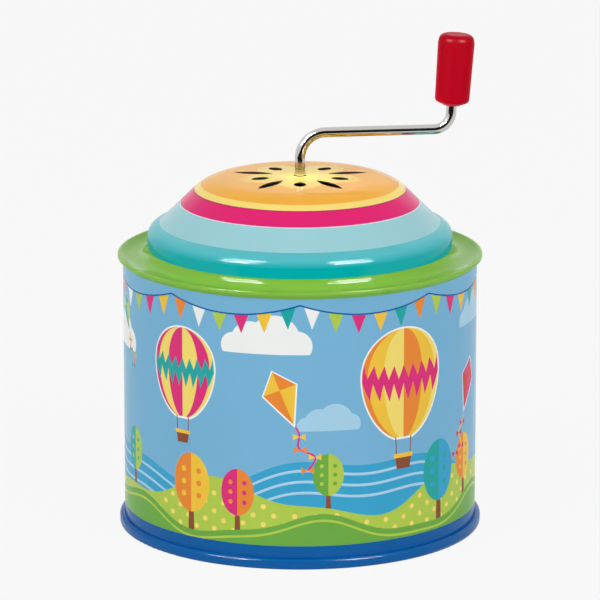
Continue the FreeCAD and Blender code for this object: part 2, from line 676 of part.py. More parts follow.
head_foot = "(dim.grip_offset + dim.head_start)"
head_top = f"({head_foot} + dim.head_length)"
head_radius = "(dim.wire_radius + dim.head_height)"
head_sketch = sketch_on(crank_wire, "XZ_Plane")
head_sketch.AttachmentOffset = Placement(Vector(), Rotation(Vector(0, 0, -1), mm("dim.grip_lean")))
head_sketch.setExpression("AttachmentOffset.Base.x", "dim.arm_reach")
head_sketch.setExpression("AttachmentOffset.Base.y", corner_height)
draw_outline(
    head_sketch,
    [
        ("0", head_foot),
        ("dim.wire_radius", head_foot),
        (head_radius, f"{head_foot} + dim.head_height"),
        (head_radius, f"{head_top} - dim.head_height"),
        ("dim.wire_radius", head_top),
        ("0", head_top),
    ],
)
turn(head_sketch)
pin_hole = sketch_on(crank_wire, "YZ_Plane")
draw_circle(pin_hole, "0", spring_pin_z, "dim.spring_pin_radius + dim.fit_gap")
pocket_through(pin_hole)

# Crank grip: moulded plastic with a rounded cap, a cone at its foot and a blind bore that snaps over the
# wire's head and turns on it.
grip_top = "(dim.grip_offset + dim.grip_length)"
cone_top = "(dim.grip_offset + dim.grip_cone_height)"
cap_foot = f"({grip_top} - dim.grip_cap_height)"
cap_radius = "(dim.grip_top_radius - dim.grip_cap_step)"
head_bore = f"({head_radius} + dim.running_gap)"
crank_grip = turned(
    "crank_grip",
    [
        (wire_bore, "dim.grip_offset"),
        ("dim.grip_cone_radius", "dim.grip_offset"),
        ("dim.grip_foot_radius", cone_top),
        ("dim.grip_top_radius", cap_foot),
        (cap_radius, f"{cap_foot} + dim.grip_cap_step"),
        (cap_radius, grip_top),
        ("0", grip_top),
        ("0", f"{wire_end} + dim.head_play"),
        (wire_bore, f"{wire_end} + dim.head_play"),
        (wire_bore, f"{head_top} + dim.head_play"),
        (head_bore, f"{head_top} + dim.head_play"),
        (head_bore, f"{head_foot} - dim.head_play"),
        (wire_bore, f"{head_foot} - dim.head_play"),
    ],
)
round_ring(crank_grip, cap_radius, grip_top, "dim.grip_cap_round")
round_ring(crank_grip, "dim.grip_foot_radius", cone_top, "dim.grip_foot_round")
place(crank_grip, "dim.arm_reach", "0", corner_height, Rotation(Vector(0, 1, 0), mm("dim.grip_lean")))

# Wire collar: pushed onto the wire under the lid, so that the crank can't be pulled out.
collar_foot = f"{lid_top} - dim.tin - dim.collar_gap - dim.collar_thickness"
ring("wire_collar", wire_seat, "dim.collar_radius", collar_foot, "dim.collar_thickness")

# Worm: a core on the wire with one right-hand thread, symmetric about the wheel's axis, so that the
# thread stands at that height on the side of the wheel.
flank = "(dim.tooth_module * tan(dim.pressure_angle))"
root_flank = "(dim.root_depth * tan(dim.pressure_angle))"
thread_middle = f"{axial_pitch} * dim.tooth_share / 2"
worm = new_body("worm")
worm_core = sketch_on(worm, "XY_Plane", f"{worm_foot} - {arbor_z}")
draw_circle(worm_core, "0", "0", worm_root)
pad(worm_core, f"{worm_top} - {worm_foot}")
thread_sketch = sketch_on(worm, "XZ_Plane")
thread_start = f"-{thread_half}"
thread_overlap = "dim.root_depth / 5"
draw_outline(
    thread_sketch,
    [
        (f"{worm_root} - {thread_overlap}", f"{thread_start} - {thread_middle} - {root_flank}"),
        (worm_tip, f"{thread_start} - {thread_middle} + {flank}"),
        (worm_tip, f"{thread_start} + {thread_middle} - {flank}"),
        (f"{worm_root} - {thread_overlap}", f"{thread_start} + {thread_middle} + {root_flank}"),
    ],
)
doc.recompute()
thread = add_feature(thread_sketch, "AdditiveHelix")
thread.ReferenceAxis = (thread_sketch, ["V_Axis"])
thread.Mode = "pitch-height-angle"
thread.setExpression("Pitch", axial_pitch)
thread.setExpression("Height", f"2 * {thread_half}")
doc.recompute()
worm_bore = sketch_on(worm, "XY_Plane")
draw_circle(worm_bore, "0", "0", wire_seat)
pocket_through(worm_bore)
worm_pin_hole = sketch_on(worm, "YZ_Plane")
draw_circle(worm_pin_hole, "0", f"{spring_pin_z} - {arbor_z}", "dim.spring_pin_radius + dim.fit_gap")
pocket_through(worm_pin_hole)
place(worm, z=arbor_z)

# Spring pin: driven across the worm's hub and the wire.
worm_pin = new_body("worm_pin")
pin_section = sketch_on(worm_pin, "YZ_Plane")
draw_circle(pin_section, "0", spring_pin_z, "dim.spring_pin_radius")
pad(pin_section, f"2 * {worm_root}", symmetric=True)

# Thrust washer: nylon, between the worm and the brass bush in which the wire's foot stands.
washer_foot = f"{footstep_top} + dim.end_play"
ring("thrust_washer", wire_seat, "dim.thrust_washer_radius", washer_foot, "dim.thrust_washer_thickness")

# Footstep bush: a blind brass bush in the boss of the bedplate.
turned(
    "footstep_bush",
    [
        ("0", bedplate_underside),
        (wire_bush, bedplate_underside),
        (wire_bush, boss_top),
        (wire_bush_flange, boss_top),
        (wire_bush_flange, footstep_top),
        (wire_bore, footstep_top),
        (wire_bore, f"{bedplate_underside} + dim.footstep_floor"),
        ("0", f"{bedplate_underside} + dim.footstep_floor"),
    ],
)

# Crank bridge: a strip of steel bent into a foot, an upright and an arm over the worm.
crank_bridge = new_body("crank_bridge")
bridge_sketch = sketch_on(crank_bridge, "YZ_Plane")
bridge_foot_end = "(-dim.bridge_offset - dim.bridge_foot)"
draw_outline(
    bridge_sketch,
    [
        (bridge_foot_end, bedplate_top),
        ("-dim.bridge_offset", bedplate_top),
        ("-dim.bridge_offset", bridge_underside),
        ("dim.bridge_overhang", bridge_underside),
        ("dim.bridge_overhang", bridge_top),
        (bridge_back, bridge_top),
        (bridge_back, strip_top),
        (bridge_foot_end, strip_top),
    ],
)
pad(bridge_sketch, "dim.bridge_width", symmetric=True)
drill(crank_bridge, [("0", "0")], bridge_top, "dim.strip_thickness", f"{wire_bush} + dim.fit_gap")
drill(crank_bridge, bridge_screw_places, strip_top, "dim.strip_thickness", screw_hole)
screws("bridge_screws", bridge_screw_places, strip_top)

# Bridge bush: steadies the wire above the worm.
turned(
    "bridge_bush",
    [
        (wire_bore, f"{bridge_underside} - dim.bush_flange_thickness"),
        (wire_bush_flange, f"{bridge_underside} - dim.bush_flange_thickness"),
        (wire_bush_flange, bridge_underside),
        (wire_bush, bridge_underside),
        (wire_bush, bridge_top),
        (wire_bore, bridge_top),
    ],
)

# Bedplate: die-cast, on three posts, with a boss under the wire and a rail under the comb.
bedplate = new_body("bedplate")
plate_sketch = sketch_on(bedplate, "XY_Plane", bedplate_underside)
plate_corners = rectangle(plate_left, plate_right, plate_front, plate_back)
draw_outline(plate_sketch, plate_corners)
pad(plate_sketch, "dim.bedplate_thickness")
round_upright_edges(bedplate, plate_corners, "dim.bedplate_round")
post_sketch = sketch_on(bedplate, "XY_Plane", post_foot)
for x, y in post_places:
    draw_circle(post_sketch, x, y, "dim.post_radius")
pad(post_sketch, "dim.post_height + dim.bedplate_thickness / 2")
boss_sketch = sketch_on(bedplate, "XY_Plane", f"{bedplate_top} - dim.bedplate_thickness / 2")
draw_circle(boss_sketch, "0", "0", "dim.boss_radius")
pad(boss_sketch, "dim.bedplate_thickness / 2 + dim.boss_height")
rail_sketch = sketch_on(bedplate, "XY_Plane", f"{bedplate_top} - dim.bedplate_thickness / 2")
draw_outline(rail_sketch, rectangle(comb_left, comb_right, comb_back, f"{comb_back} + dim.rail_depth"))
pad(rail_sketch, f"{comb_underside} - {bedplate_top} + dim.bedplate_thickness / 2")
plate_and_boss = "dim.bedplate_thickness + dim.boss_height"
drill(bedplate, [("0", "0")], boss_top, plate_and_boss, f"{wire_bush} + dim.fit_gap")
drill(bedplate, post_places, post_foot, "dim.screw_length", screw_hole, upwards=True)
drill(bedplate, bridge_screw_places + bracket_screw_places, bedplate_top, "dim.screw_length", screw_hole)
drill(bedplate, comb_screw_places, comb_underside, "dim.screw_length", screw_hole)

# Washers and screws that hold the posts to the base.
post_washers = new_body("post_washers", separate_solids=True)
washer_sketch = sketch_on(post_washers, "XY_Plane", "dim.panel_height")
for x, y in post_places:
    draw_circle(washer_sketch, x, y, "dim.washer_radius")
    draw_circle(washer_sketch, x, y, screw_hole)
pad(washer_sketch, "dim.washer_thickness")
screws("base_screws", post_places, panel_underside, head_down=True)


def arbor_bracket(label, upright_start, foot_start):
    """An angle bracket: an upright with a round top about the arbor, and a foot with one screw."""
    body = new_body(label)
    upright = sketch_on(body, "YZ_Plane", upright_start)
    draw_outline(upright, rectangle(bracket_front, bracket_back, bedplate_top, arbor_z))
    pad(upright, "dim.strip_thickness")
    top = sketch_on(body, "YZ_Plane", upright_start)
    draw_circle(top, arbor_y, arbor_z, "dim.bracket_width / 2")
    pad(top, "dim.strip_thickness")
    foot = sketch_on(body, "XY_Plane", bedplate_top)
    draw_outline(foot, rectangle(foot_start, f"{foot_start} + dim.bracket_foot", bracket_front, bracket_back))
    pad(foot, "dim.strip_thickness")
    bush_hole = sketch_on(body, "YZ_Plane", upright_start)
    draw_circle(bush_hole, arbor_y, arbor_z, f"{arbor_bush} + dim.fit_gap")
    pocket(bush_hole, "dim.strip_thickness", upwards=True)
    return body


# Arbor brackets and their screws: the feet point inwards, under the wheel and under the barrel.
left_bracket = arbor_bracket("left_bracket", left_outside, left_outside)
right_bracket = arbor_bracket("right_bracket", right_face, f"{right_outside} - dim.bracket_foot")
for bracket, screw_place in zip((left_bracket, right_bracket), bracket_screw_places):
    drill(bracket, [screw_place], strip_top, "dim.strip_thickness", screw_hole)
screws("bracket_screws", bracket_screw_places, strip_top)

# Pieces on the arbor are drawn about their own Z axis, which is laid along X at the arbor.
along_x = Rotation(Vector(0, 1, 0), 90)

# Arbor bushes: flanged brass, with the flange on the inner side of each bracket.
left_flange_face = f"{left_face} + dim.bush_flange_thickness"
left_bush = turned(
    "left_bush",
    [
        (arbor_bore, left_outside),
        (arbor_bush, left_outside),
        (arbor_bush, left_face),
        (arbor_bush_flange, left_face),
        (arbor_bush_flange, left_flange_face),
        (arbor_bore, left_flange_face),
    ],
)
right_flange_face = f"{right_face} - dim.bush_flange_thickness"
right_bush = turned(
    "right_bush",
    [
        (arbor_bore, right_flange_face),
        (arbor_bush_flange, right_flange_face),
        (arbor_bush_flange, right_face),
        (arbor_bush, right_face),
        (arbor_bush, right_outside),
        (arbor_bore, right_outside),
    ],
)

# Cylinder arbor: a plain steel shaft through both bushes.
cylinder_arbor = new_body("cylinder_arbor")
arbor_sketch = sketch_on(cylinder_arbor, "XY_Plane", left_outside)
draw_circle(arbor_sketch, "0", "0", "dim.arbor_radius")
pad(arbor_sketch, f"{right_outside} - {left_outside}")

# Worm wheel: moulded, with skewed teeth, a hub to the bush and a spigot into the barrel.
worm_wheel = new_body("worm_wheel")
wheel_disc = sketch_on(worm_wheel, "XY_Plane")
draw_circle(wheel_disc, "0", "0", wheel_root)
pad(wheel_disc, "dim.wheel_face", symmetric=True)
tooth_sketch = sketch_on(worm_wheel, "XY_Plane")
tooth_foot = f"{wheel_root} - {thread_overlap}"
draw_outline(
    tooth_sketch,
    [
        (tooth_foot, f"-{thread_middle} - {root_flank}"),
        (wheel_tip, f"-{thread_middle} + {flank}"),
        (wheel_tip, f"{thread_middle} - {flank}"),
        (tooth_foot, f"{thread_middle} + {root_flank}"),
    ],
)
tooth = pad(tooth_sketch, "dim.wheel_face", symmetric=True)
lead_slope = mm("dim.tooth_module / (2 * dim.worm_pitch_radius)")
tooth.UseCustomVector = True
tooth.Direction = Vector(0, lead_slope, 1)
tooth.AlongSketchNormal = True
doc.recompute()
repeat_around(worm_wheel, tooth, "dim.wheel_teeth")
hub_sketch = sketch_on(worm_wheel, "XY_Plane", "-dim.wheel_face / 2")
draw_circle(hub_sketch, "0", "0", "dim.hub_radius")
pad(hub_sketch, hub_reach, downwards=True)
spigot_sketch = sketch_on(worm_wheel, "XY_Plane", barrel_start)
draw_circle(spigot_sketch, "0", "0", spigot_radius)
pad(spigot_sketch, "dim.spigot_length")
wheel_bore = sketch_on(worm_wheel, "XY_Plane")
draw_circle(wheel_bore, "0", "0", arbor_seat)
pocket_through(wheel_bore)

# Barrel cap: closes the far end of the barrel and carries it on the arbor.
barrel_cap = turned(
    "barrel_cap",
    [
        (arbor_seat, f"{barrel_end} - dim.spigot_length"),
        (spigot_radius, f"{barrel_end} - dim.spigot_length"),
        (spigot_radius, barrel_end),
        ("dim.barrel_radius", barrel_end),
        ("dim.barrel_radius", cap_face),
        ("dim.hub_radius", cap_face),
        ("dim.hub_radius", f"{cap_face} + {hub_reach}"),
        (arbor_seat, f"{cap_face} + {hub_reach}"),
    ],
)

# Barrel: a brass tube with its pins raised out of the wall, in a made-up pattern that plays no tune.
barrel = add_sub_part("Part::Feature", "barrel")
barrel_radius = mm("dim.barrel_radius")
barrel_foot = Vector(0, 0, mm(barrel_start))
barrel_tube = Part.makeCylinder(barrel_radius, mm(barrel_length), barrel_foot)
barrel_tube = barrel_tube.cut(Part.makeCylinder(mm(barrel_inside), mm(barrel_length), barrel_foot))
pin_foot = barrel_radius - mm("dim.barrel_wall") / 2
pin_length = mm("dim.barrel_wall") / 2 + mm("dim.pin_height")
BEATS = 24
barrel_pins = []
for track in range(int(mm("dim.comb_teeth"))):
    height = mm(f"{barrel_start} + dim.first_track + {track} * dim.track_pitch")
    for note in range(3 + track % 2):
        angle = 2 * math.pi * ((7 * track + note * (5 + track % 3)) % BEATS) / BEATS
        outwards = Vector(math.cos(angle), math.sin(angle), 0)
        start = outwards * pin_foot + Vector(0, 0, height)
        barrel_pins.append(Part.makeCylinder(mm("dim.pin_radius"), pin_length, start, outwards))
barrel.Shape = barrel_tube.multiFuse(barrel_pins)

for piece in (left_bush, right_bush, cylinder_arbor, barrel_cap, barrel):
    place(piece, "0", arbor_y, arbor_z, along_x)
half_tooth = Rotation(Vector(0, 0, 1), -90 + 180 / mm("dim.wheel_teeth"))
place(worm_wheel, "0", arbor_y, arbor_z, along_x.multiply(half_tooth))

# Comb: hardened steel. The teeth end in line and their roots lie on a slant, so they grow longer.
comb = new_body("comb")
tooth_sheet = sketch_on(comb, "XY_Plane", tooth_underside)
draw_outline(tooth_sheet, rectangle(comb_left, comb_right, comb_back, comb_tips))
pad(tooth_sheet, "dim.tooth_thickness")
comb_body = sketch_on(comb, "XY_Plane", comb_underside)
draw_outline(
    comb_body,
    [
        (comb_left, comb_back),
        (comb_right, comb_back),
        (comb_right, f"{comb_tips} - dim.long_tooth"),
        (comb_left, f"{comb_tips} - dim.short_tooth"),
    ],
)
pad(comb_body, "dim.comb_thickness - dim.tooth_thickness")
saw_cuts = sketch_on(comb, "XY_Plane", comb_top)
for cut in range(1, int(mm("dim.comb_teeth"))):
    cut_x = f"({comb_left} + {cut} * dim.track_pitch)"
    cut_root = f"{comb_tips} - dim.short_tooth - (dim.long_tooth - dim.short_tooth) * {cut} / dim.comb_teeth"
    cut_half = "dim.saw_cut / 2"
    cut_end = f"{comb_tips} + dim.comb_gap"
    draw_outline(saw_cuts, rectangle(f"{cut_x} - {cut_half}", f"{cut_x} + {cut_half}", cut_root, cut_end))
pocket(saw_cuts, "dim.tooth_thickness")
drill(comb, comb_screw_places, comb_top, "dim.comb_thickness", screw_hole)
screws("comb_screws", comb_screw_places, comb_top)

# Tuning weights: soldered under the longest teeth.
tuning_weights = new_body("tuning_weights", separate_solids=True)
weight_sketch = sketch_on(tuning_weights, "XY_Plane", f"{tooth_underside} - dim.weight_height")
for tooth_from_end in range(int(mm("dim.weight_count"))):
    weight_middle = f"({comb_right} - dim.track_pitch * {tooth_from_end + 0.5})"
    weight_half = "(dim.track_pitch / 2 - dim.saw_cut)"
    weight_tip = f"({comb_tips} - dim.weight_inset)"
    draw_outline(
        weight_sketch,
        rectangle(
            f"{weight_middle} - {weight_half}",
            f"{weight_middle} + {weight_half}",
            f"{weight_tip} - dim.weight_length",
            weight_tip,
        ),
    )
pad(weight_sketch, "dim.weight_height")

doc.recompute()
for item in doc.Objects:
    if "Invalid" in item.State or "Error" in item.State:
        raise RuntimeError(f"{item.Label} failed: {item.State}")
for piece in sub_parts:
    if piece.Shape.isNull() or not piece.Shape.isValid():
        raise RuntimeError(f"{piece.Label} has no valid shape")

os.makedirs("parts", exist_ok=True)
for piece in sub_parts:
    piece.Shape.exportStep(os.path.join("parts", f"{piece.Label}.step"))
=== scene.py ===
import math

import bmesh
import bpy
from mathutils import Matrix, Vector
from mathutils.geometry import delaunay_2d_cdt


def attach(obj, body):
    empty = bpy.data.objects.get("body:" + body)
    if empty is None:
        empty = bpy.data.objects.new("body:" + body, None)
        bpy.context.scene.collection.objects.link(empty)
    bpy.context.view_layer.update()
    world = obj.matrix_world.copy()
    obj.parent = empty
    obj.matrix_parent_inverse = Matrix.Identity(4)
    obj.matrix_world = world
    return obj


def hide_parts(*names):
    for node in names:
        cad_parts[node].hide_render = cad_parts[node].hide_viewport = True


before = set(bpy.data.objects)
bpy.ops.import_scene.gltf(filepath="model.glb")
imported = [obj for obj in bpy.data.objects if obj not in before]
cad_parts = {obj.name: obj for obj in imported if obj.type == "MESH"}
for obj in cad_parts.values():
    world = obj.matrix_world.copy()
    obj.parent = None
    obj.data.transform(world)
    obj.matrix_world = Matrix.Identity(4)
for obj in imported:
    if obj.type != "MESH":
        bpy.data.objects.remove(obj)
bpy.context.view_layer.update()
bpy.context.scene.view_settings.view_transform = "Standard"


# Base plate: the bottom of the tin, pressed from tinplate and lacquered deep blue, so it is smooth
# and glossy. The box stands on its rolled rim, which grips the lower edge of the printed tube.

def linear(colour):
    """An sRGB hex value as the linear colour that a shader socket takes."""
    channels = [int(colour[start:start + 2], 16) / 255 for start in (1, 3, 5)]
    return [*(c / 12.92 if c <= 0.04045 else ((c + 0.055) / 1.055) ** 2.4 for c in channels), 1.0]


def add_node(tree, kind, inputs, **settings):
    """Adds a shader node; an input is a value, or the socket of another node to link it to."""
    node = tree.nodes.new(kind)
    for name, value in settings.items():
        setattr(node, name, value)
    for name, value in inputs.items():
        if isinstance(value, bpy.types.NodeSocket):
            tree.links.new(value, node.inputs[name])
        else:
            node.inputs[name].default_value = value
    return node


def new_material(name, inputs):
    """A material with one Principled shader; returns it with its node tree and its shader."""
    material = bpy.data.materials.new(name)
    material.use_nodes = True
    tree = material.node_tree
    tree.nodes.clear()
    shader = add_node(tree, "ShaderNodeBsdfPrincipled", inputs)
    add_node(tree, "ShaderNodeOutputMaterial", {"Surface": shader.outputs["BSDF"]})
    return material, tree, shader


def grain(tree, size_mm, stretch=(1, 1, 1), detail=2.0):
    """A noise with grains about size_mm wide, drawn out along an axis where stretch is small."""
    place = add_node(tree, "ShaderNodeTexCoord", {})
    drawn_out = {"Vector": place.outputs["Object"], "Scale": stretch}
    stretched = add_node(tree, "ShaderNodeMapping", drawn_out)
    grains = {"Vector": stretched.outputs["Vector"], "Scale": 1000 / size_mm, "Detail": detail}
    return add_node(tree, "ShaderNodeTexNoise", grains).outputs["Fac"]


def raise_surface(tree, shader, height, depth_mm):
    """Lets a pattern stand out of the surface by up to depth_mm."""
    bump = add_node(tree, "ShaderNodeBump", {"Height": height, "Distance": depth_mm / 1000})
    tree.links.new(bump.outputs["Normal"], shader.inputs["Normal"])


def vary(tree, shader, socket, pattern, low, high):
    """Lets a noise, which is mostly between 0.3 and 0.7, move a number of the shader."""
    span = {"Value": pattern, "From Min": 0.3, "From Max": 0.7, "To Min": low, "To Max": high}
    moved = add_node(tree, "ShaderNodeMapRange", span)
    tree.links.new(moved.outputs["Result"], shader.inputs[socket])


def printed_tin(name, colour):
    """Lithographed tinplate: ink under stoving varnish, glossy with a faint orange peel.

    The varnish adds no haze from the front and mirrors the room along the edges of a round.
    """
    varnish = {
        "Base Color": linear(colour),
        "Roughness": 0.45,
        "Specular IOR Level": 0.0,
        "Coat Weight": 0.6,
        "Coat Roughness": 0.08,
        "Coat IOR": 1.3,
    }
    material, tree, shader = new_material(name, varnish)
    raise_surface(tree, shader, grain(tree, 1.6), 0.003)
    return material


def dress(node_name, material):
    """Gives a node of the frame its material."""
    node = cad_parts[node_name]
    if not node.material_slots:
        node.data.materials.append(material)
    for slot in node.material_slots:
        slot.material = material


DEEP_BLUE = "#005DA5"
dress("base_plate", printed_tin("deep blue lacquered tinplate", DEEP_BLUE))


# Bedplate: the frame of the movement, die-cast in zinc, with three posts that stand on the base. It
# comes out of the die grey, dull and slightly mottled.

die_cast, tree, shader = new_material(
    "die-cast zinc", {"Base Color": linear("#A2A4A6"), "Metallic": 1.0, "Roughness": 0.5}
)
vary(tree, shader, "Roughness", grain(tree, 2.5, detail=4.0), 0.42, 0.58)
dress("bedplate", die_cast)


# Washers between the posts and the base: punched from vulcanised fibre, which is red-brown and dull
# with short fibres. They keep the movement from rattling on the tin.

fibre, tree, shader = new_material(
    "vulcanised fibre", {"Base Color": linear("#7C3A2C"), "Roughness": 0.75}
)
raise_surface(tree, shader, grain(tree, 0.5, stretch=(1, 0.2, 1)), 0.02)
dress("post_washers", fibre)


# Screws: slotted, of turned and zinc-plated steel. They hold the posts, the bridge, the brackets
# and the comb. The cylinder's arbor is the same bright steel.

screw_steel, tree, shader = new_material(
    "zinc-plated screw steel", {"Base Color": linear("#B4B7BA"), "Metallic": 1.0, "Roughness": 0.3}
)
vary(tree, shader, "Roughness", grain(tree, 0.4), 0.24, 0.36)
for name in ("base_screws", "bridge_screws", "bracket_screws", "comb_screws", "cylinder_arbor"):
    dress(name, screw_steel)


# Bridge over the worm and brackets of the cylinder: steel strip, punched, bent and plated with
# zinc. The rolled strip shows faint lines along its length, drawn coarser than real ones so that
# they show.

strip_steel, tree, shader = new_material(
    "zinc-plated steel strip", {"Base Color": linear("#C2C6C9"), "Metallic": 1.0, "Roughness": 0.32}
)
vary(tree, shader, "Roughness", grain(tree, 0.6, stretch=(1, 1, 0.06)), 0.25, 0.4)
for name in ("crank_bridge", "left_bracket", "right_bracket"):
    dress(name, strip_steel)


# Bushes and barrel: turned brass, warm and bright, with fine marks of the lathe around it. The
# barrel is drawn brass tube with its pins raised out of the wall. The marks are drawn coarser than
# real ones so that they show.

brass, tree, shader = new_material(
    "turned brass", {"Base Color": linear("#D2A85A"), "Metallic": 1.0, "Roughness": 0.26}
)
vary(tree, shader, "Roughness", grain(tree, 0.5, stretch=(1, 0.3, 0.3)), 0.2, 0.34)
for name in ("footstep_bush", "bridge_bush", "left_bush", "right_bush", "barrel"):
    dress(name, brass)


# Worm, wheel and barrel cap: moulded acetal, white and slightly waxy. The thrust washer is natural
# nylon, a little yellower.

acetal, tree, shader = new_material(
    "moulded acetal", {"Base Color": linear("#ECE9E0"), "Roughness": 0.42, "IOR": 1.48}
)
raise_surface(tree, shader, grain(tree, 0.3), 0.004)
for name in ("worm", "worm_wheel", "barrel_cap"):
    dress(name, acetal)
nylon, tree, shader = new_material(
    "natural nylon", {"Base Color": linear("#E4DCC2"), "Roughness": 0.5, "IOR": 1.53}
)
raise_surface(tree, shader, grain(tree, 0.3), 0.004)
dress("thrust_washer", nylon)


# Spring pin of the worm and collar under the lid: blued spring steel, dark with a slight sheen. The
# pin is driven through worm and wire, and the collar is pushed on from below.

spring_steel, tree, shader = new_material(
    "blued spring steel", {"Base Color": linear("#4A4E56"), "Metallic": 1.0, "Roughness": 0.35}
)
vary(tree, shader, "Roughness", grain(tree, 0.8), 0.28, 0.44)
for name in ("worm_pin", "wire_collar"):
    dress(name, spring_steel)


# Comb: hardened steel, ground along its teeth, so it shows fine lines that way, which are drawn
# coarser than real ones so that they show. The weights under the long teeth are soft grey metal,
# cast and soldered on.

comb_steel, tree, shader = new_material(
    "ground comb steel", {"Base Color": linear("#9A9DA1"), "Metallic": 1.0, "Roughness": 0.3}
)
ground_lines = grain(tree, 0.25, stretch=(1, 0.04, 1))
vary(tree, shader, "Roughness", ground_lines, 0.22, 0.42)
raise_surface(tree, shader, ground_lines, 0.003)
dress("comb", comb_steel)
soft_metal, tree, shader = new_material(
    "soft cast weight metal", {"Base Color": linear("#6C6F74"), "Metallic": 1.0, "Roughness": 0.55}
)
vary(tree, shader, "Roughness", grain(tree, 0.7), 0.48, 0.64)
dress("tuning_weights", soft_metal)


# Body shell: one sheet of tinplate, printed flat in several inks and then rolled into the tube,
# with a folded lock seam at the back. The print is laid out here on the flat sheet in millimetres,
# u around the tube from the front and z up, and is then wrapped.

BODY_RADIUS = 51.0
TIN = 0.3
SHEET_FOOT, SHEET_TOP = 1.0, 79.0
HALF_ROUND = math.pi * BODY_RADIUS
PRINT_FOOT = 2.0
INKS = {
    "sky": "#79B6DA",
    "pale sky": "#A8D3EA",
    "white": "#F4F6F4",
    "lemon": "#F8DF72",
    "yellow": "#F5C740",
    "orange": "#EF8B35",
    "red": "#D63A2F",
    "magenta": "#E0307C",
    "lime": "#B4CF4F",
    "green": "#6FAE45",
    "turquoise": "#3AA6D2",
    "teal": "#23A9A6",
    "deep blue": DEEP_BLUE,
    "bark": "#8E4F33",
}
whole_sheet = [
    (-HALF_ROUND, SHEET_FOOT),
    (HALF_ROUND, SHEET_FOOT),
    (HALF_ROUND, SHEET_TOP),
    (-HALF_ROUND, SHEET_TOP),
]
shapes = [("sky", whole_sheet)]


def anticlockwise(outline):
    """The same closed outline, drawn the way round that the triangulation needs."""
    sides = zip(outline, outline[1:] + outline[:1])
    area = sum(u * after_z - after_u * z for (u, z), (after_u, after_z) in sides)
    return outline if area > 0 else outline[::-1]


def lay(ink, outline):
    """Prints a closed outline over what is printed so far, up to the ends of the sheet."""
    on_sheet = [(max(-HALF_ROUND, min(u, HALF_ROUND)), z) for u, z in outline]
    shapes.append((ink, anticlockwise(on_sheet)))


def oval(u, z, width, height, points=40):
    """The outline of an oval that reaches as far as width and height from its middle."""
    steps = [2 * math.pi * step / points for step in range(points)]
    return [(u + width * math.cos(step), z + height * math.sin(step)) for step in steps]


def ribbon(line, thickness):
    """The outline of a line drawn with a pen of that thickness."""
    left, right = [], []
    for index, (u, z) in enumerate(line):
        before, after = line[max(index - 1, 0)], line[min(index + 1, len(line) - 1)]
        along_u, along_z = after[0] - before[0], after[1] - before[1]
        half = thickness / 2 / math.hypot(along_u, along_z)
        left.append((u - along_z * half, z + along_u * half))
        right.append((u + along_z * half, z - along_u * half))
    return left + right[::-1]


def lay_cloud(u, z, size, ink):
    """Rounded puffs with one flat foot."""
    for across, radius in ((-1.75, 0.72), (-0.75, 1.15), (0.55, 1.4), (1.75, 0.85)):
        puff = oval(u + across * size, z + radius * 0.55 * size, radius * size, radius * size)
        lay(ink, [(point_u, max(point_z, z)) for point_u, point_z in puff])


def skyline(crest, steps=360):
    """A line from one end of the sheet to the other, as high as crest says at each angle."""
    line = []
    for step in range(steps + 1):
        u = -HALF_ROUND + 2 * HALF_ROUND * step / steps
        line.append((u, crest(u / BODY_RADIUS)))
    return line


def lay_land(ink, crest):
    """Land under a skyline, down to the foot of the print."""
    lay(ink, [(HALF_ROUND, PRINT_FOOT), *skyline(crest)[::-1], (-HALF_ROUND, PRINT_FOOT)])


def lay_stripe(ink, crest, drop, thickness):
    """A stripe that follows a skyline some way below it."""
    upper = [(u, z - drop) for u, z in skyline(crest)]
    lay(ink, [(u, z - thickness) for u, z in upper] + upper[::-1])


def lay_tree(u, z, size, leaf, light):
    """A round tree on a straight trunk, lighter on one side, with dots in its crown."""
    foot, top = 0.09 * size, 0.06 * size
    lay("bark", [(u - foot, z - 1), (u + foot, z - 1), (u + top, z + size), (u - top, z + size)])
    crown = oval(u, z + 1.15 * size, 0.52 * size, 0.72 * size)
    lay(leaf, crown)
    lay(light, [(max(point_u, u), point_z) for point_u, point_z in crown])
    dot, off_trunk = 0.07 * size, 0.22 * size
    for dot_height in (0.85, 1.15, 1.45):
        lay(light, oval(u - off_trunk, z + dot_height * size, dot, dot, points=16))
        lay(leaf, oval(u + off_trunk, z + dot_height * size, dot, dot, points=16))


def balloon_edge(t, size):
    """Half the width and the height of a balloon from its crown, t 0, to its mouth, t 1."""
    turn = 0.92 * math.pi * t
    height = math.cos(turn) * (1.0 if turn < math.pi / 2 else 1.28)
    return size * math.sin(turn) * (1 - 0.16 * t * t), size * height


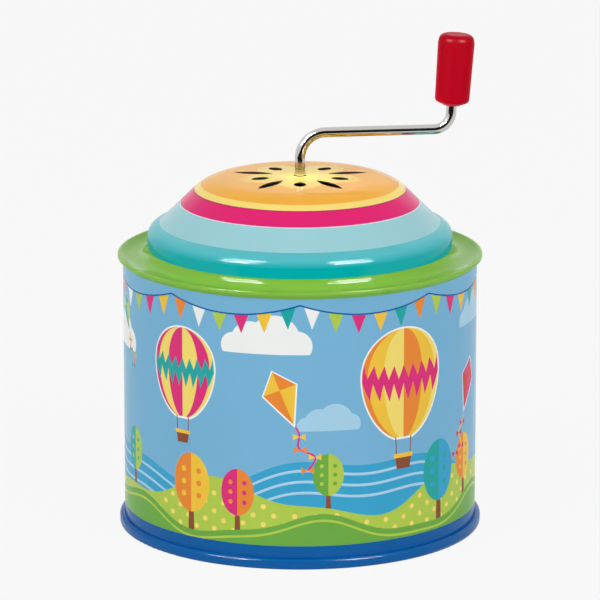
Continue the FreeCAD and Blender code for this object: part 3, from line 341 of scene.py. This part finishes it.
def lay_balloon(u, z, size, gores, band):
    """A hot-air balloon: gores in turn, a zigzag band of another ink, ropes and a basket."""
    steps = [step / 28 for step in range(29)]
    rim = [balloon_edge(t, size + 0.5) for t in steps]
    lay("white", [(u - w, z + h) for w, h in rim] + [(u + w, z + h) for w, h in rim[::-1]])
    edge = [balloon_edge(t, size) for t in steps]
    seams = [math.sin(math.radians(angle)) for angle in range(-90, 91, 30)]
    for number, (left, right) in enumerate(zip(seams, seams[1:])):
        outline = [(u + left * w, z + h) for w, h in edge]
        outline += [(u + right * w, z + h) for w, h in edge[::-1]]
        lay(gores[number % len(gores)], outline)
    zigzag = (-0.05, 0.0, 0.05, 0.0)
    upper, lower = [], []
    for step in range(33):
        across = -1 + step / 16
        tooth = zigzag[step % 4]
        sag = 0.1 * (1 - across * across)
        for t, line in ((0.47 + tooth, upper), (0.6 + tooth, lower)):
            width, height = balloon_edge(t, size)
            line.append((u + across * width, z + height - sag * size))
    lay(band, upper + lower[::-1])
    mouth_width, mouth = balloon_edge(1.0, size)
    basket_top, basket_foot = z + mouth - 0.34 * size, z + mouth - 0.66 * size
    for side in (-1, 1):
        rope = [(u + side * mouth_width * 0.9, z + mouth), (u + side * 0.17 * size, basket_top)]
        lay("bark", ribbon(rope, 0.35))
    basket = ((-0.21, basket_top), (0.21, basket_top), (0.16, basket_foot), (-0.16, basket_foot))
    lay("bark", [(u + across * size, level) for across, level in basket])
    half, low = 0.23 * size, basket_top - 0.09 * size
    lip = ((-half, low), (half, low), (half, basket_top), (-half, basket_top))
    lay("yellow", [(u + across, level) for across, level in lip])


def lay_kite(u, z, size, lean, inks, tail):
    """A kite of four panels with a white border, and a waving tail with its bows."""
    turn = math.radians(lean)

    def spot(across, up):
        spot_u = u + across * math.cos(turn) - up * math.sin(turn)
        spot_z = z + across * math.sin(turn) + up * math.cos(turn)
        return spot_u, spot_z

    line = []
    for step in range(41):
        sway = 0.34 * size * math.sin(step / 4) * step / 40
        line.append(spot(sway, -1.1 * size - 1.9 * size * step / 40))
    lay(tail, ribbon(line, 0.55))
    wing, half = 0.24 * size, 0.13 * size
    for number, step in enumerate((12, 22, 32, 40)):
        bow_u, bow_z = line[step]
        for side in (-1, 1):
            wing_u = bow_u + side * wing
            lay(inks[number % 2], [(bow_u, bow_z), (wing_u, bow_z - half), (wing_u, bow_z + half)])
    cross, border = 0.25, 1.1
    corners = [(0, 1.0), (-0.66, cross), (0, -1.15), (0.66, cross)]
    lay("white", [
        spot(across * size * border, (up - cross) * size * border + cross * size)
        for across, up in corners
    ])
    for number, (one, two) in enumerate(zip(corners, corners[1:] + corners[:1])):
        panel = [spot(across * size, up * size) for across, up in ((0, cross), one, two)]
        lay(inks[number % 2], panel)


def far_hills(angle):
    return 27 + 4.5 * math.sin(3 * angle + 0.6) + 2.0 * math.sin(7 * angle + 2.2)


def middle_hills(angle):
    return 19.5 + 4.5 * math.sin(4 * angle + 3.4) + 1.5 * math.sin(9 * angle)


def near_hills(angle):
    return 12 + 3.2 * math.sin(5 * angle + 1.1) + 0.8 * math.sin(11 * angle)


for cloud in (
    (-10, 62, 5.2, "white"),
    (66, 63, 4.2, "pale sky"),
    (-72, 55, 5.0, "white"),
    (8, 40, 3.6, "pale sky"),
    (-118, 62, 4.6, "pale sky"),
    (112, 42, 4.2, "white"),
    (-142, 42, 3.8, "white"),
    (142, 61, 4.4, "white"),
):
    lay_cloud(*cloud)
lay_land("turquoise", far_hills)
STRIPE_DROPS, STRIPE_THICKNESS = (2.2, 5.4, 8.6), 0.8
for drop in STRIPE_DROPS:
    lay_stripe("pale sky", far_hills, drop, STRIPE_THICKNESS)
for u, size, leaf, light in (
    (-60, 9.0, "teal", "lime"),
    (8, 8.5, "green", "lime"),
    (98, 9.0, "teal", "lime"),
    (-128, 9.0, "green", "lime"),
):
    lay_tree(u, middle_hills(u / BODY_RADIUS), size, leaf, light)
lay_land("lime", middle_hills)
DOT_ROWS, DOT_COLUMNS, DOT_RADIUS = 8, 54, 0.75
FIRST_DOT_ROW, DOT_ROW_STEP = 7.5, 2.6
DOTS_BELOW_CREST, DOTS_OFF_SEAM = 1.6, 5
for row in range(DOT_ROWS):
    for column in range(DOT_COLUMNS):
        u = -HALF_ROUND + 2 * HALF_ROUND * (column + 0.5 * (row % 2) + 0.25) / DOT_COLUMNS
        z = FIRST_DOT_ROW + DOT_ROW_STEP * row
        on_hill = z < middle_hills(u / BODY_RADIUS) - DOTS_BELOW_CREST
        if on_hill and abs(u) < HALF_ROUND - DOTS_OFF_SEAM:
            lay("lemon", oval(u, z, DOT_RADIUS, DOT_RADIUS, points=14))
for u, size, leaf, light in (
    (-33, 12.0, "orange", "yellow"),
    (-18, 9.5, "magenta", "orange"),
    (45, 12.5, "teal", "turquoise"),
    (59, 9.5, "orange", "yellow"),
    (-88, 11.5, "magenta", "orange"),
    (82, 11.0, "orange", "yellow"),
    (128, 11.5, "teal", "turquoise"),
    (-146, 10.5, "orange", "yellow"),
):
    lay_tree(u, near_hills(u / BODY_RADIUS), size, leaf, light)
lay_land("green", near_hills)
GRASS_EDGE_DROP, GRASS_EDGE_THICKNESS = 1.6, 0.7
lay_stripe("lime", near_hills, GRASS_EDGE_DROP, GRASS_EDGE_THICKNESS)
FOOT_BAND_TOP = 6.6
lay_land("deep blue", lambda angle: FOOT_BAND_TOP)
for balloon in (
    (-36, 55.5, 11.5, ("magenta", "lemon"), "teal"),
    (31, 53.5, 14.0, ("orange", "yellow", "lemon"), "magenta"),
    (90, 56, 10.5, ("teal", "white"), "orange"),
    (-100, 52, 12.0, ("red", "yellow"), "turquoise"),
    (-140, 62, 7.5, ("lime", "white"), "magenta"),
):
    lay_balloon(*balloon)
for kite in (
    (-5, 50, 7.5, 22, ("yellow", "orange"), "magenta"),
    (62, 46, 7.0, -20, ("magenta", "red"), "yellow"),
    (-68, 66, 5.5, 28, ("lime", "teal"), "orange"),
    (122, 60, 7.5, -24, ("yellow", "orange"), "magenta"),
    (-120, 40, 5.5, -16, ("magenta", "white"), "red"),
):
    lay_kite(*kite)
BUNTING_SPANS, FLAGS, FLAG_STEPS = 8, 6, 6
CORD_TOP, CORD_SAG, CORD_THICKNESS, FLAG_DROP = 76.2, 3.2, 0.45, 5.4
flag_inks = ("magenta", "yellow", "teal", "orange", "white", "lime")
span, cord_steps = 2 * HALF_ROUND / BUNTING_SPANS, FLAGS * FLAG_STEPS
for number in range(BUNTING_SPANS):
    start = -HALF_ROUND + number * span
    cord = []
    for step in range(cord_steps + 1):
        sag = CORD_SAG * (1 - (2 * step / cord_steps - 1) ** 2)
        cord.append((start + span * step / cord_steps, CORD_TOP - sag))
    for flag in range(FLAGS):
        left, middle, right = (cord[flag * FLAG_STEPS + step] for step in (1, 3, 5))
        tip = ((left[0] + right[0]) / 2, min(left[1], right[1]) - FLAG_DROP)
        lay(flag_inks[(flag + number) % len(flag_inks)], [left, tip, right, middle])
    lay("deep blue", ribbon(cord, CORD_THICKNESS))

SEAM_WIDTH, SEAM_RISE, SEAM_SLOPE = 5.0, 0.3, 0.2
SEAM_FOOT, SEAM_TOP = 3.5, 77.6
COLUMNS, CLOSE = 144, 1e-4
cuts = []
for column in range(1, COLUMNS):
    u = -HALF_ROUND + 2 * HALF_ROUND * column / COLUMNS
    cuts.append([(u, SHEET_FOOT), (u, SHEET_TOP)])
for side in (-1, 1):
    end = side * HALF_ROUND
    for grow in (SEAM_SLOPE, 0.0):
        near = side * (HALF_ROUND - SEAM_WIDTH / 2 - grow)
        low, high = SEAM_FOOT - grow, SEAM_TOP + grow
        cuts.append([(end, low), (near, low), (near, high), (end, high)])


def triangulate(shapes, cuts, closed=False):
    """Splits a print into triangles along its outlines and along extra lines, open or closed.

    Returns the corners, the triangles, and for each triangle the numbers of the shapes over it.
    """
    inside_only, join_within = 1, 1e-5
    points, edges, outlines = [], [], []
    for _, outline in shapes:
        outlines.append(list(range(len(points), len(points) + len(outline))))
        points.extend(outline)
    for line in cuts:
        first, count = len(points), len(line)
        steps = count if closed else count - 1
        edges.extend((first + step, first + (step + 1) % count) for step in range(steps))
        points.extend(line)
    corners, _, triangles, _, _, printed = delaunay_2d_cdt(
        [Vector(point) for point in points], edges, outlines, inside_only, join_within
    )
    return corners, triangles, printed


def on_seam(u, z):
    """Whether a place of the flat sheet is on the raised fold of the seam."""
    across = abs(u) > HALF_ROUND - SEAM_WIDTH / 2 - CLOSE
    return across and SEAM_FOOT - CLOSE < z < SEAM_TOP + CLOSE


def around(u, z, radius):
    """A place of the flat sheet on a tube of that radius, in metres."""
    angle = u / BODY_RADIUS
    return radius * math.sin(angle) / 1000, -radius * math.cos(angle) / 1000, z / 1000


flat, triangles, printed = triangulate(shapes, cuts)
ink_names = [*INKS, "bare"]
places = [around(u, z, BODY_RADIUS + (SEAM_RISE if on_seam(u, z) else 0.0)) for u, z in flat]
shell_faces = [list(triangle) for triangle in triangles]
shell_inks = [ink_names.index(shapes[max(layers)][0]) for layers in printed]
rims, inner = [], []
for level in (SHEET_FOOT, SHEET_TOP):
    rims.append(sorted((u, index) for index, (u, z) in enumerate(flat) if abs(z - level) < CLOSE))
for level, rim in zip((SHEET_FOOT, SHEET_TOP), rims):
    inner.append(list(range(len(places), len(places) + len(rim))))
    places.extend(around(u, level, BODY_RADIUS - TIN) for u, _ in rim)
for step in range(COLUMNS):
    foot_out, top_out = rims[0][step:step + 2], rims[1][step:step + 2]
    foot_in, top_in = inner[0][step:step + 2], inner[1][step:step + 2]
    shell_faces.append([foot_out[1][1], foot_out[0][1], foot_in[0], foot_in[1]])
    shell_faces.append([top_out[0][1], top_out[1][1], top_in[1], top_in[0]])
    shell_faces.append([foot_in[1], foot_in[0], top_in[0], top_in[1]])
    shell_inks.extend([ink_names.index("bare")] * 3)


def new_piece(name, places, faces, slots, materials):
    """A mesh with its own materials; vertices that share a place are joined."""
    mesh = bpy.data.meshes.new(name)
    mesh.from_pydata(places, [], faces)
    for material in materials:
        mesh.materials.append(material)
    mesh.polygons.foreach_set("material_index", slots)
    shape = bmesh.new()
    shape.from_mesh(mesh)
    bmesh.ops.remove_doubles(shape, verts=shape.verts, dist=1e-6)
    shape.to_mesh(mesh)
    shape.free()
    piece = bpy.data.objects.new(name, mesh)
    bpy.context.scene.collection.objects.link(piece)
    return piece


# Bare tinplate, inside the tube and under the lid: bright grey with soft patches of its tin coat.
bare_tin, tree, shader = new_material(
    "bare tinplate", {"Base Color": linear("#B9BCBE"), "Metallic": 1.0, "Roughness": 0.38}
)
vary(tree, shader, "Roughness", grain(tree, 3.0, detail=3.0), 0.32, 0.46)
shell_materials = [printed_tin(f"{ink} ink on tinplate", colour) for ink, colour in INKS.items()]
shell_materials.append(bare_tin)
body_print = new_piece("printed_body", places, shell_faces, shell_inks, shell_materials)
body_print.data.shade_smooth()
normals = []
for polygon in body_print.data.polygons:
    middle = polygon.center
    radial = Vector((middle.x, middle.y, 0)).normalized()
    facing = 1 if polygon.normal.dot(radial) > 0 else -1
    at_seam = middle.y > 0 and abs(middle.x) < (SEAM_WIDTH / 2 + SEAM_SLOPE) / 1000
    wall = abs(polygon.normal.z) < 0.5 and not at_seam
    for vertex in polygon.vertices:
        place = body_print.data.vertices[vertex].co
        outward = Vector((place.x, place.y, 0)).normalized()
        normals.append(outward * facing if wall else polygon.normal)
body_print.data.normals_split_custom_set(normals)
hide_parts("body_shell")
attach(body_print, "casing")


# Lid: pressed from one printed sheet into a crown, a cone, a rounded shoulder, an upright wall and
# a gutter, with its edge rolled out over the tube. Ten sound slots are punched around the hole for
# the crank; their cut edges are painted near black, a painted shade for the dark inside the slots.

LID_TOP, CROWN_RADIUS, CROWN_RISE = 102.4, 27.3, 0.8
DISC_RADIUS = 22.0
LID_STEPS = 256
LID_INKS = {
    "orange": "#FBB53C",
    "yellow": "#FFE27C",
    "rosette": "#FCDD68",
    "dark line": "#8C2A52",
    "magenta": "#E81E74",
    "white line": "#E6EFEF",
    "aqua": "#9FD4DB",
    "teal": "#00B3BC",
    "green": "#87C042",
}


def crown_height(radius):
    """The height of the slightly domed crown at a radius."""
    return LID_TOP - CROWN_RISE * (radius / CROWN_RADIUS) ** 2


def rounded(corners, degrees_per_step=4):
    """A line through corners of (radius, height, rounding), with an arc at each rounded one."""
    line = []
    for index, (radius, height, rounding) in enumerate(corners):
        corner = Vector((radius, height))
        if not rounding:
            line.append(corner)
            continue
        before = (Vector(corners[index - 1][:2]) - corner).normalized()
        after = (Vector(corners[index + 1][:2]) - corner).normalized()
        half = before.angle(after) / 2
        centre = corner + (before + after).normalized() * rounding / math.sin(half)
        start = corner + before * rounding / math.tan(half) - centre
        end = corner + after * rounding / math.tan(half) - centre
        turn = start.angle_signed(end)
        arc_steps = max(4, round(abs(math.degrees(turn)) / degrees_per_step))
        for step in range(arc_steps + 1):
            angle = -turn * step / arc_steps
            spin = Vector((
                start.x * math.cos(angle) - start.y * math.sin(angle),
                start.x * math.sin(angle) + start.y * math.cos(angle),
            ))
            line.append(centre + spin)
    return line


def split_at(line, axis, values):
    """The same line with extra points where it crosses these radii (axis 0) or heights (axis 1)."""
    result = [line[0]]
    for start, end in zip(line, line[1:]):
        low, high = sorted((start[axis], end[axis]))
        crossed = [value for value in values if low < value < high]
        for value in sorted(crossed, reverse=start[axis] > end[axis]):
            result.append(start.lerp(end, (value - start[axis]) / (end[axis] - start[axis])))
        result.append(end)
    return result


RING_RADII = (28.5, 30.35, 30.5, 34.35, 34.55, 40.4)
GREEN_TOP = 82.0
outside = rounded([
    (DISC_RADIUS, crown_height(DISC_RADIUS), 0),
    (CROWN_RADIUS, 101.6, 14.0),  # crown into cone
    (40.5, 88.6, 2.5),  # cone into shoulder
    (43.9, 87.7, 3.6),  # shoulder into wall
    (43.9, 79.1, 3.2),  # wall into gutter
    (50.0, 79.1, 0),  # gutter into rim
    (51.6, 80.2, 0.4),  # crest of the rim
    (52.5, 80.2, 0.4),
    (52.5, 79.3, 0),
    (51.1, 78.0, 0),  # lower edge of the rim, on the tube
])
outside = split_at(split_at(outside, 0, RING_RADII), 1, (GREEN_TOP,))
underside = rounded([
    (51.1, 79.1, 0),  # groove over the tube's edge
    (50.6, 79.1, 0),
    (50.6, 77.0, 0),  # lip inside the tube
    (50.0, 77.0, 0),
    (50.0, 78.8, 0),
    (43.6, 78.8, 3.5),
    (43.6, 87.469, 3.3),
    (40.346, 88.33, 2.8),
    (27.177, 101.3, 13.7),
    (DISC_RADIUS, crown_height(DISC_RADIUS) - TIN, 0),
])
profile = outside + underside


def ring_ink(start, end):
    """The ink of the outside between two neighbouring points of the profile."""
    radius, height = (start.x + end.x) / 2, (start.y + end.y) / 2
    if height < GREEN_TOP:
        return "green"
    rings = ("orange", "yellow", "dark line", "magenta", "white line", "aqua", "teal")
    return rings[sum(radius > edge for edge in RING_RADII)]


lid_ink_names = [*LID_INKS, "bare", "cut edge"]
places, lid_faces, lid_slots = [], [], []
for point in profile:
    for step in range(LID_STEPS):
        angle = 2 * math.pi * step / LID_STEPS
        x, y = point.x * math.cos(angle), point.x * math.sin(angle)
        places.append((x / 1000, y / 1000, point.y / 1000))
for index, (start, end) in enumerate(zip(profile, profile[1:])):
    ink = ring_ink(start, end) if index < len(outside) - 1 else "bare"
    for step in range(LID_STEPS):
        after = (step + 1) % LID_STEPS
        one, two = index * LID_STEPS, (index + 1) * LID_STEPS
        lid_faces.append([one + step, two + step, two + after, one + after])
        lid_slots.append(lid_ink_names.index(ink))


def pointed_slot(azimuth, inner_end, outer_end, width, arc_steps=16):
    """The outline of a slot between two arcs that runs outwards at an azimuth, in degrees."""
    turn = math.radians(azimuth)
    half_length, middle = (outer_end - inner_end) / 2, (outer_end + inner_end) / 2
    bow = (half_length**2 + width**2 / 4) / width
    outline = []
    for side in (-1, 1):
        for step in range(arc_steps):
            along = half_length * math.cos(math.pi * step / arc_steps) * side
            off = side * (math.sqrt(bow**2 - along**2) - (bow - width / 2))
            x, y = middle + along, off
            outline.append((
                x * math.cos(turn) - y * math.sin(turn),
                x * math.sin(turn) + y * math.cos(turn),
            ))
    return anticlockwise(outline)


FIFTH_OF_TURN = 72
PETAL_FOOT, PETAL_LENGTH, PETAL_CURVE = 8.4, 10.4, 0.6
half_petal = FIFTH_OF_TURN / 2
rosette = []
for degrees in range(360):
    off_petal = abs((degrees + 90 + half_petal) % FIFTH_OF_TURN - half_petal) / half_petal
    radius = PETAL_FOOT + PETAL_LENGTH * (1 - off_petal) ** PETAL_CURVE
    angle = math.radians(degrees)
    rosette.append((radius * math.cos(angle), radius * math.sin(angle)))
disc = oval(0, 0, DISC_RADIUS, DISC_RADIUS, points=LID_STEPS)
disc_shapes = [("orange", disc), ("rosette", rosette)]
LONG_SLOT_ENDS, LONG_SLOT_WIDTH = (8.2, 20.3), 3.2
SHORT_SLOT_ENDS, SHORT_SLOT_WIDTH = (9.3, 14.7), 3.5
CRANK_HOLE = 1.9
for turn in range(0, 360, FIFTH_OF_TURN):
    disc_shapes.append((None, pointed_slot(90 + turn, *LONG_SLOT_ENDS, LONG_SLOT_WIDTH)))
    disc_shapes.append((None, pointed_slot(-90 + turn, *SHORT_SLOT_ENDS, SHORT_SLOT_WIDTH)))
disc_shapes.append((None, oval(0, 0, CRANK_HOLE, CRANK_HOLE, points=32)))
SMOOTHING_CIRCLES = (4.0, 7.0, 21.0)
circles = [oval(0, 0, radius, radius, points=96) for radius in SMOOTHING_CIRCLES]
flat, triangles, printed = triangulate(disc_shapes, circles, closed=True)
first, count = len(places), len(flat)
for drop in (0.0, TIN):
    for x, y in flat:
        z = crown_height(math.hypot(x, y)) - drop
        places.append((x / 1000, y / 1000, z / 1000))
edge_uses = {}
for triangle, layers in zip(triangles, printed):
    ink = disc_shapes[max(layers)][0]
    if ink is None:
        continue
    one, two, three = (first + index for index in triangle)
    lid_faces.append([one, two, three])
    lid_faces.append([three + count, two + count, one + count])
    lid_slots.extend([lid_ink_names.index(ink), lid_ink_names.index("bare")])
    for edge in ((one, two), (two, three), (three, one)):
        edge_uses.setdefault(tuple(sorted(edge)), []).append(edge)
RIM_START = (DISC_RADIUS - 0.01) / 1000
for uses in edge_uses.values():
    one, two = uses[0]
    on_rim = all(math.hypot(*places[index][:2]) > RIM_START for index in (one, two))
    if len(uses) == 1 and not on_rim:
        lid_faces.append([two, one, one + count, two + count])
        lid_slots.append(lid_ink_names.index("cut edge"))


def fade_ink(material, along, start_mm, end_mm, end_colour):
    """Lets an ink fade into another colour between two heights or two radii: a printed fade, or a
    painted sheen.
    """
    tree = material.node_tree
    shader = next(node for node in tree.nodes if node.type == "BSDF_PRINCIPLED")
    place = add_node(tree, "ShaderNodeTexCoord", {}).outputs["Object"]
    kept = add_node(tree, "ShaderNodeVectorMath", {0: place, 1: along}, operation="MULTIPLY")
    length = add_node(tree, "ShaderNodeVectorMath", {0: kept.outputs["Vector"]}, operation="LENGTH")
    measure = length.outputs["Value"]
    span = {"Value": measure, "From Min": start_mm / 1000, "From Max": end_mm / 1000}
    share = add_node(tree, "ShaderNodeMapRange", span).outputs["Result"]
    colours = {0: share, 6: shader.inputs["Base Color"].default_value[:], 7: linear(end_colour)}
    blend = add_node(tree, "ShaderNodeMix", colours, data_type="RGBA")
    tree.links.new(blend.outputs[2], shader.inputs["Base Color"])


lid_materials = []
for ink, colour in LID_INKS.items():
    lid_materials.append(printed_tin(f"lid {ink} ink on tinplate", colour))
UPWARDS, OUTWARDS = (0, 0, 1), (1, 1, 0)
TEAL_SHEEN_SPAN, ROSETTE_FADE, PAINTED_SHEEN_TEAL = (84.9, 87.3), (13.0, 20.0), "#58C2CB"
teal, rosette_ink = (lid_materials[lid_ink_names.index(ink)] for ink in ("teal", "rosette"))
# The teal grows paler towards the top of the shoulder: a painted sheen, the varnish's reflection of
# the bright room.
fade_ink(teal, UPWARDS, *TEAL_SHEEN_SPAN, PAINTED_SHEEN_TEAL)
fade_ink(rosette_ink, OUTWARDS, *ROSETTE_FADE, LID_INKS["orange"])
# Punched edges painted near black: painted shade, standing in for the dark inside the slots.
shaded_cut_edge, tree, shader = new_material(
    "punched edge painted dark as shade", {"Base Color": linear("#17110C"), "Metallic": 1.0, "Roughness": 0.6}
)
vary(tree, shader, "Roughness", grain(tree, 0.4), 0.5, 0.7)
lid_materials += [bare_tin, shaded_cut_edge]
lid_print = new_piece("printed_lid", places, lid_faces, lid_slots, lid_materials)
lid_print.data.shade_smooth()
SHARP_FROM = 35
lid_print.data.set_sharp_from_angle(angle=math.radians(SHARP_FROM))
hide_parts("lid")
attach(lid_print, "casing")


# Crank: one length of steel wire, bent twice and plated bright with nickel. Drawing and plating
# leave it a mirror with only a faint waviness along its length.

nickel, tree, shader = new_material(
    "bright nickel plating", {"Base Color": linear("#C9C6C1"), "Metallic": 1.0, "Roughness": 0.07}
)
vary(tree, shader, "Roughness", grain(tree, 1.2), 0.05, 0.1)
dress("crank_wire", nickel)


# Grip: moulded in red polystyrene and snapped over the wire's head, so that it turns in the hand.
# The mould leaves it smooth with a soft gloss.

red_gloss = {"Base Color": linear("#BE001D"), "Roughness": 0.33, "Specular IOR Level": 0.02}
polystyrene, tree, shader = new_material("moulded red polystyrene", red_gloss)
raise_surface(tree, shader, grain(tree, 0.5), 0.004)
dress("crank_grip", polystyrene)


# Floor and light: a pale paper sweep under the box and two soft boxes, one to each side of the
# camera, in a white room. A dark cloth before the box and behind the camera gives the wire and the
# varnish depth. A soft box's bright front is a lamp of its own that shows in reflections alone.

PAPER = "#F9F9F9"
PAPER_GLOW, ROOM_FILL, FLOOR_SIZE = 0.96, 0.62, 12


def seen_directly(tree):
    """1 for a ray that shows the set, straight or by a mirror or glass; 0 for light on its way."""
    ray = add_node(tree, "ShaderNodeLightPath", {}).outputs
    seen = ray["Is Camera Ray"]
    for kind in ("Is Glossy Ray", "Is Transmission Ray"):
        either = add_node(tree, "ShaderNodeMath", {0: seen, 1: ray[kind]}, operation="MAXIMUM")
        seen = either.outputs[0]
    return seen


bpy.ops.mesh.primitive_plane_add(size=FLOOR_SIZE, location=(0, 0, 0))
floor = bpy.context.object
floor.name = "paper_floor"
paper = bpy.data.materials.new("white studio paper")
paper.use_nodes = True
tree = paper.node_tree
tree.nodes.clear()
share = add_node(
    tree, "ShaderNodeMath", {0: seen_directly(tree), 1: PAPER_GLOW}, operation="MULTIPLY"
).outputs[0]
matt = add_node(tree, "ShaderNodeBsdfDiffuse", {"Color": linear("#F2F2F2")}).outputs[0]
glow = add_node(tree, "ShaderNodeEmission", {"Color": linear(PAPER), "Strength": 1.0}).outputs[0]
mixed = add_node(tree, "ShaderNodeMixShader", {0: share, 1: matt, 2: glow})
add_node(tree, "ShaderNodeOutputMaterial", {"Surface": mixed.outputs[0]})
floor.data.materials.append(paper)

room = bpy.data.worlds.new("white room")
bpy.context.scene.world = room
room.use_nodes = True
tree = room.node_tree
tree.nodes.clear()
white = linear(PAPER)
fill = add_node(tree, "ShaderNodeBackground", {"Color": white, "Strength": ROOM_FILL}).outputs[0]
backdrop = add_node(tree, "ShaderNodeBackground", {"Color": white, "Strength": 1.0}).outputs[0]
mixed = add_node(tree, "ShaderNodeMixShader", {0: seen_directly(tree), 1: fill, 2: backdrop})
add_node(tree, "ShaderNodeOutputWorld", {"Surface": mixed.outputs[0]})


def aim(thing, place, target):
    """Sets a lamp or the camera down, facing a point."""
    thing.location = place
    thing.rotation_euler = (Vector(target) - Vector(place)).to_track_quat("-Z", "Y").to_euler()
    bpy.context.scene.collection.objects.link(thing)


LEFT_PLACE, RIGHT_PLACE, LIT_POINT = (-1.06, -0.97, 0.95), (0.95, -1.08, 0.95), (0, 0, 0.07)
SOFT_BOXES = (
    ("left soft box", "light", LEFT_PLACE, (0.8, 0.6), 6.3),
    ("right soft box", "light", RIGHT_PLACE, (0.8, 0.6), 6.3),
    ("left soft box front", "gloss", LEFT_PLACE, (0.8, 0.8), 300.0),
    ("right soft box front", "gloss", RIGHT_PLACE, (0.8, 0.8), 300.0),
    ("lit wall", "gloss", (0.0, 1.6, 0.75), (2.4, 1.8), 4.0),
)
for name, use, place, size, watts in SOFT_BOXES:
    lamp = bpy.data.lights.new(name, "AREA")
    lamp.shape, (lamp.size, lamp.size_y), lamp.energy = "RECTANGLE", size, watts
    soft_box = bpy.data.objects.new(name, lamp)
    soft_box.visible_camera = False
    soft_box.visible_glossy, soft_box.visible_diffuse = use == "gloss", use == "light"
    aim(soft_box, place, LIT_POINT)

CLOTH_REACH = 0.75
cloth_line = [(-0.3, 0.004), (-1.5, 0.004), (-1.7, 0.2), (-1.8, 1.5)]
cloth_places = [(side * CLOTH_REACH, y, z) for y, z in cloth_line for side in (-1, 1)]
cloth_faces = [(row, row + 1, row + 3, row + 2) for row in range(0, 2 * len(cloth_line) - 2, 2)]
deep_black = {"Base Color": linear("#1C1C1E"), "Roughness": 0.9, "Specular IOR Level": 0.0}
black_felt, _, _ = new_material("black felt", deep_black)
cloth_slots = [0] * len(cloth_faces)
dark_cloth = new_piece("dark_cloth", cloth_places, cloth_faces, cloth_slots, [black_felt])
dark_cloth.visible_camera = dark_cloth.visible_diffuse = dark_cloth.visible_shadow = False


# Camera: far off with a long lens, a little above the lid, as the photograph was taken. It faces
# a point on the box's axis, near half the height of the box with its crank.

CAMERA_PLACE, CAMERA_TARGET = (0.0, -1.299, 0.377), (0, 0, 0.0656)
lens_data = bpy.data.cameras.new("long lens")
lens_data.sensor_width, lens_data.lens = 36.0, 277.5
lens_data.clip_end = 20.0
camera = bpy.data.objects.new("camera", lens_data)
aim(camera, CAMERA_PLACE, CAMERA_TARGET)
bpy.context.scene.camera = camera
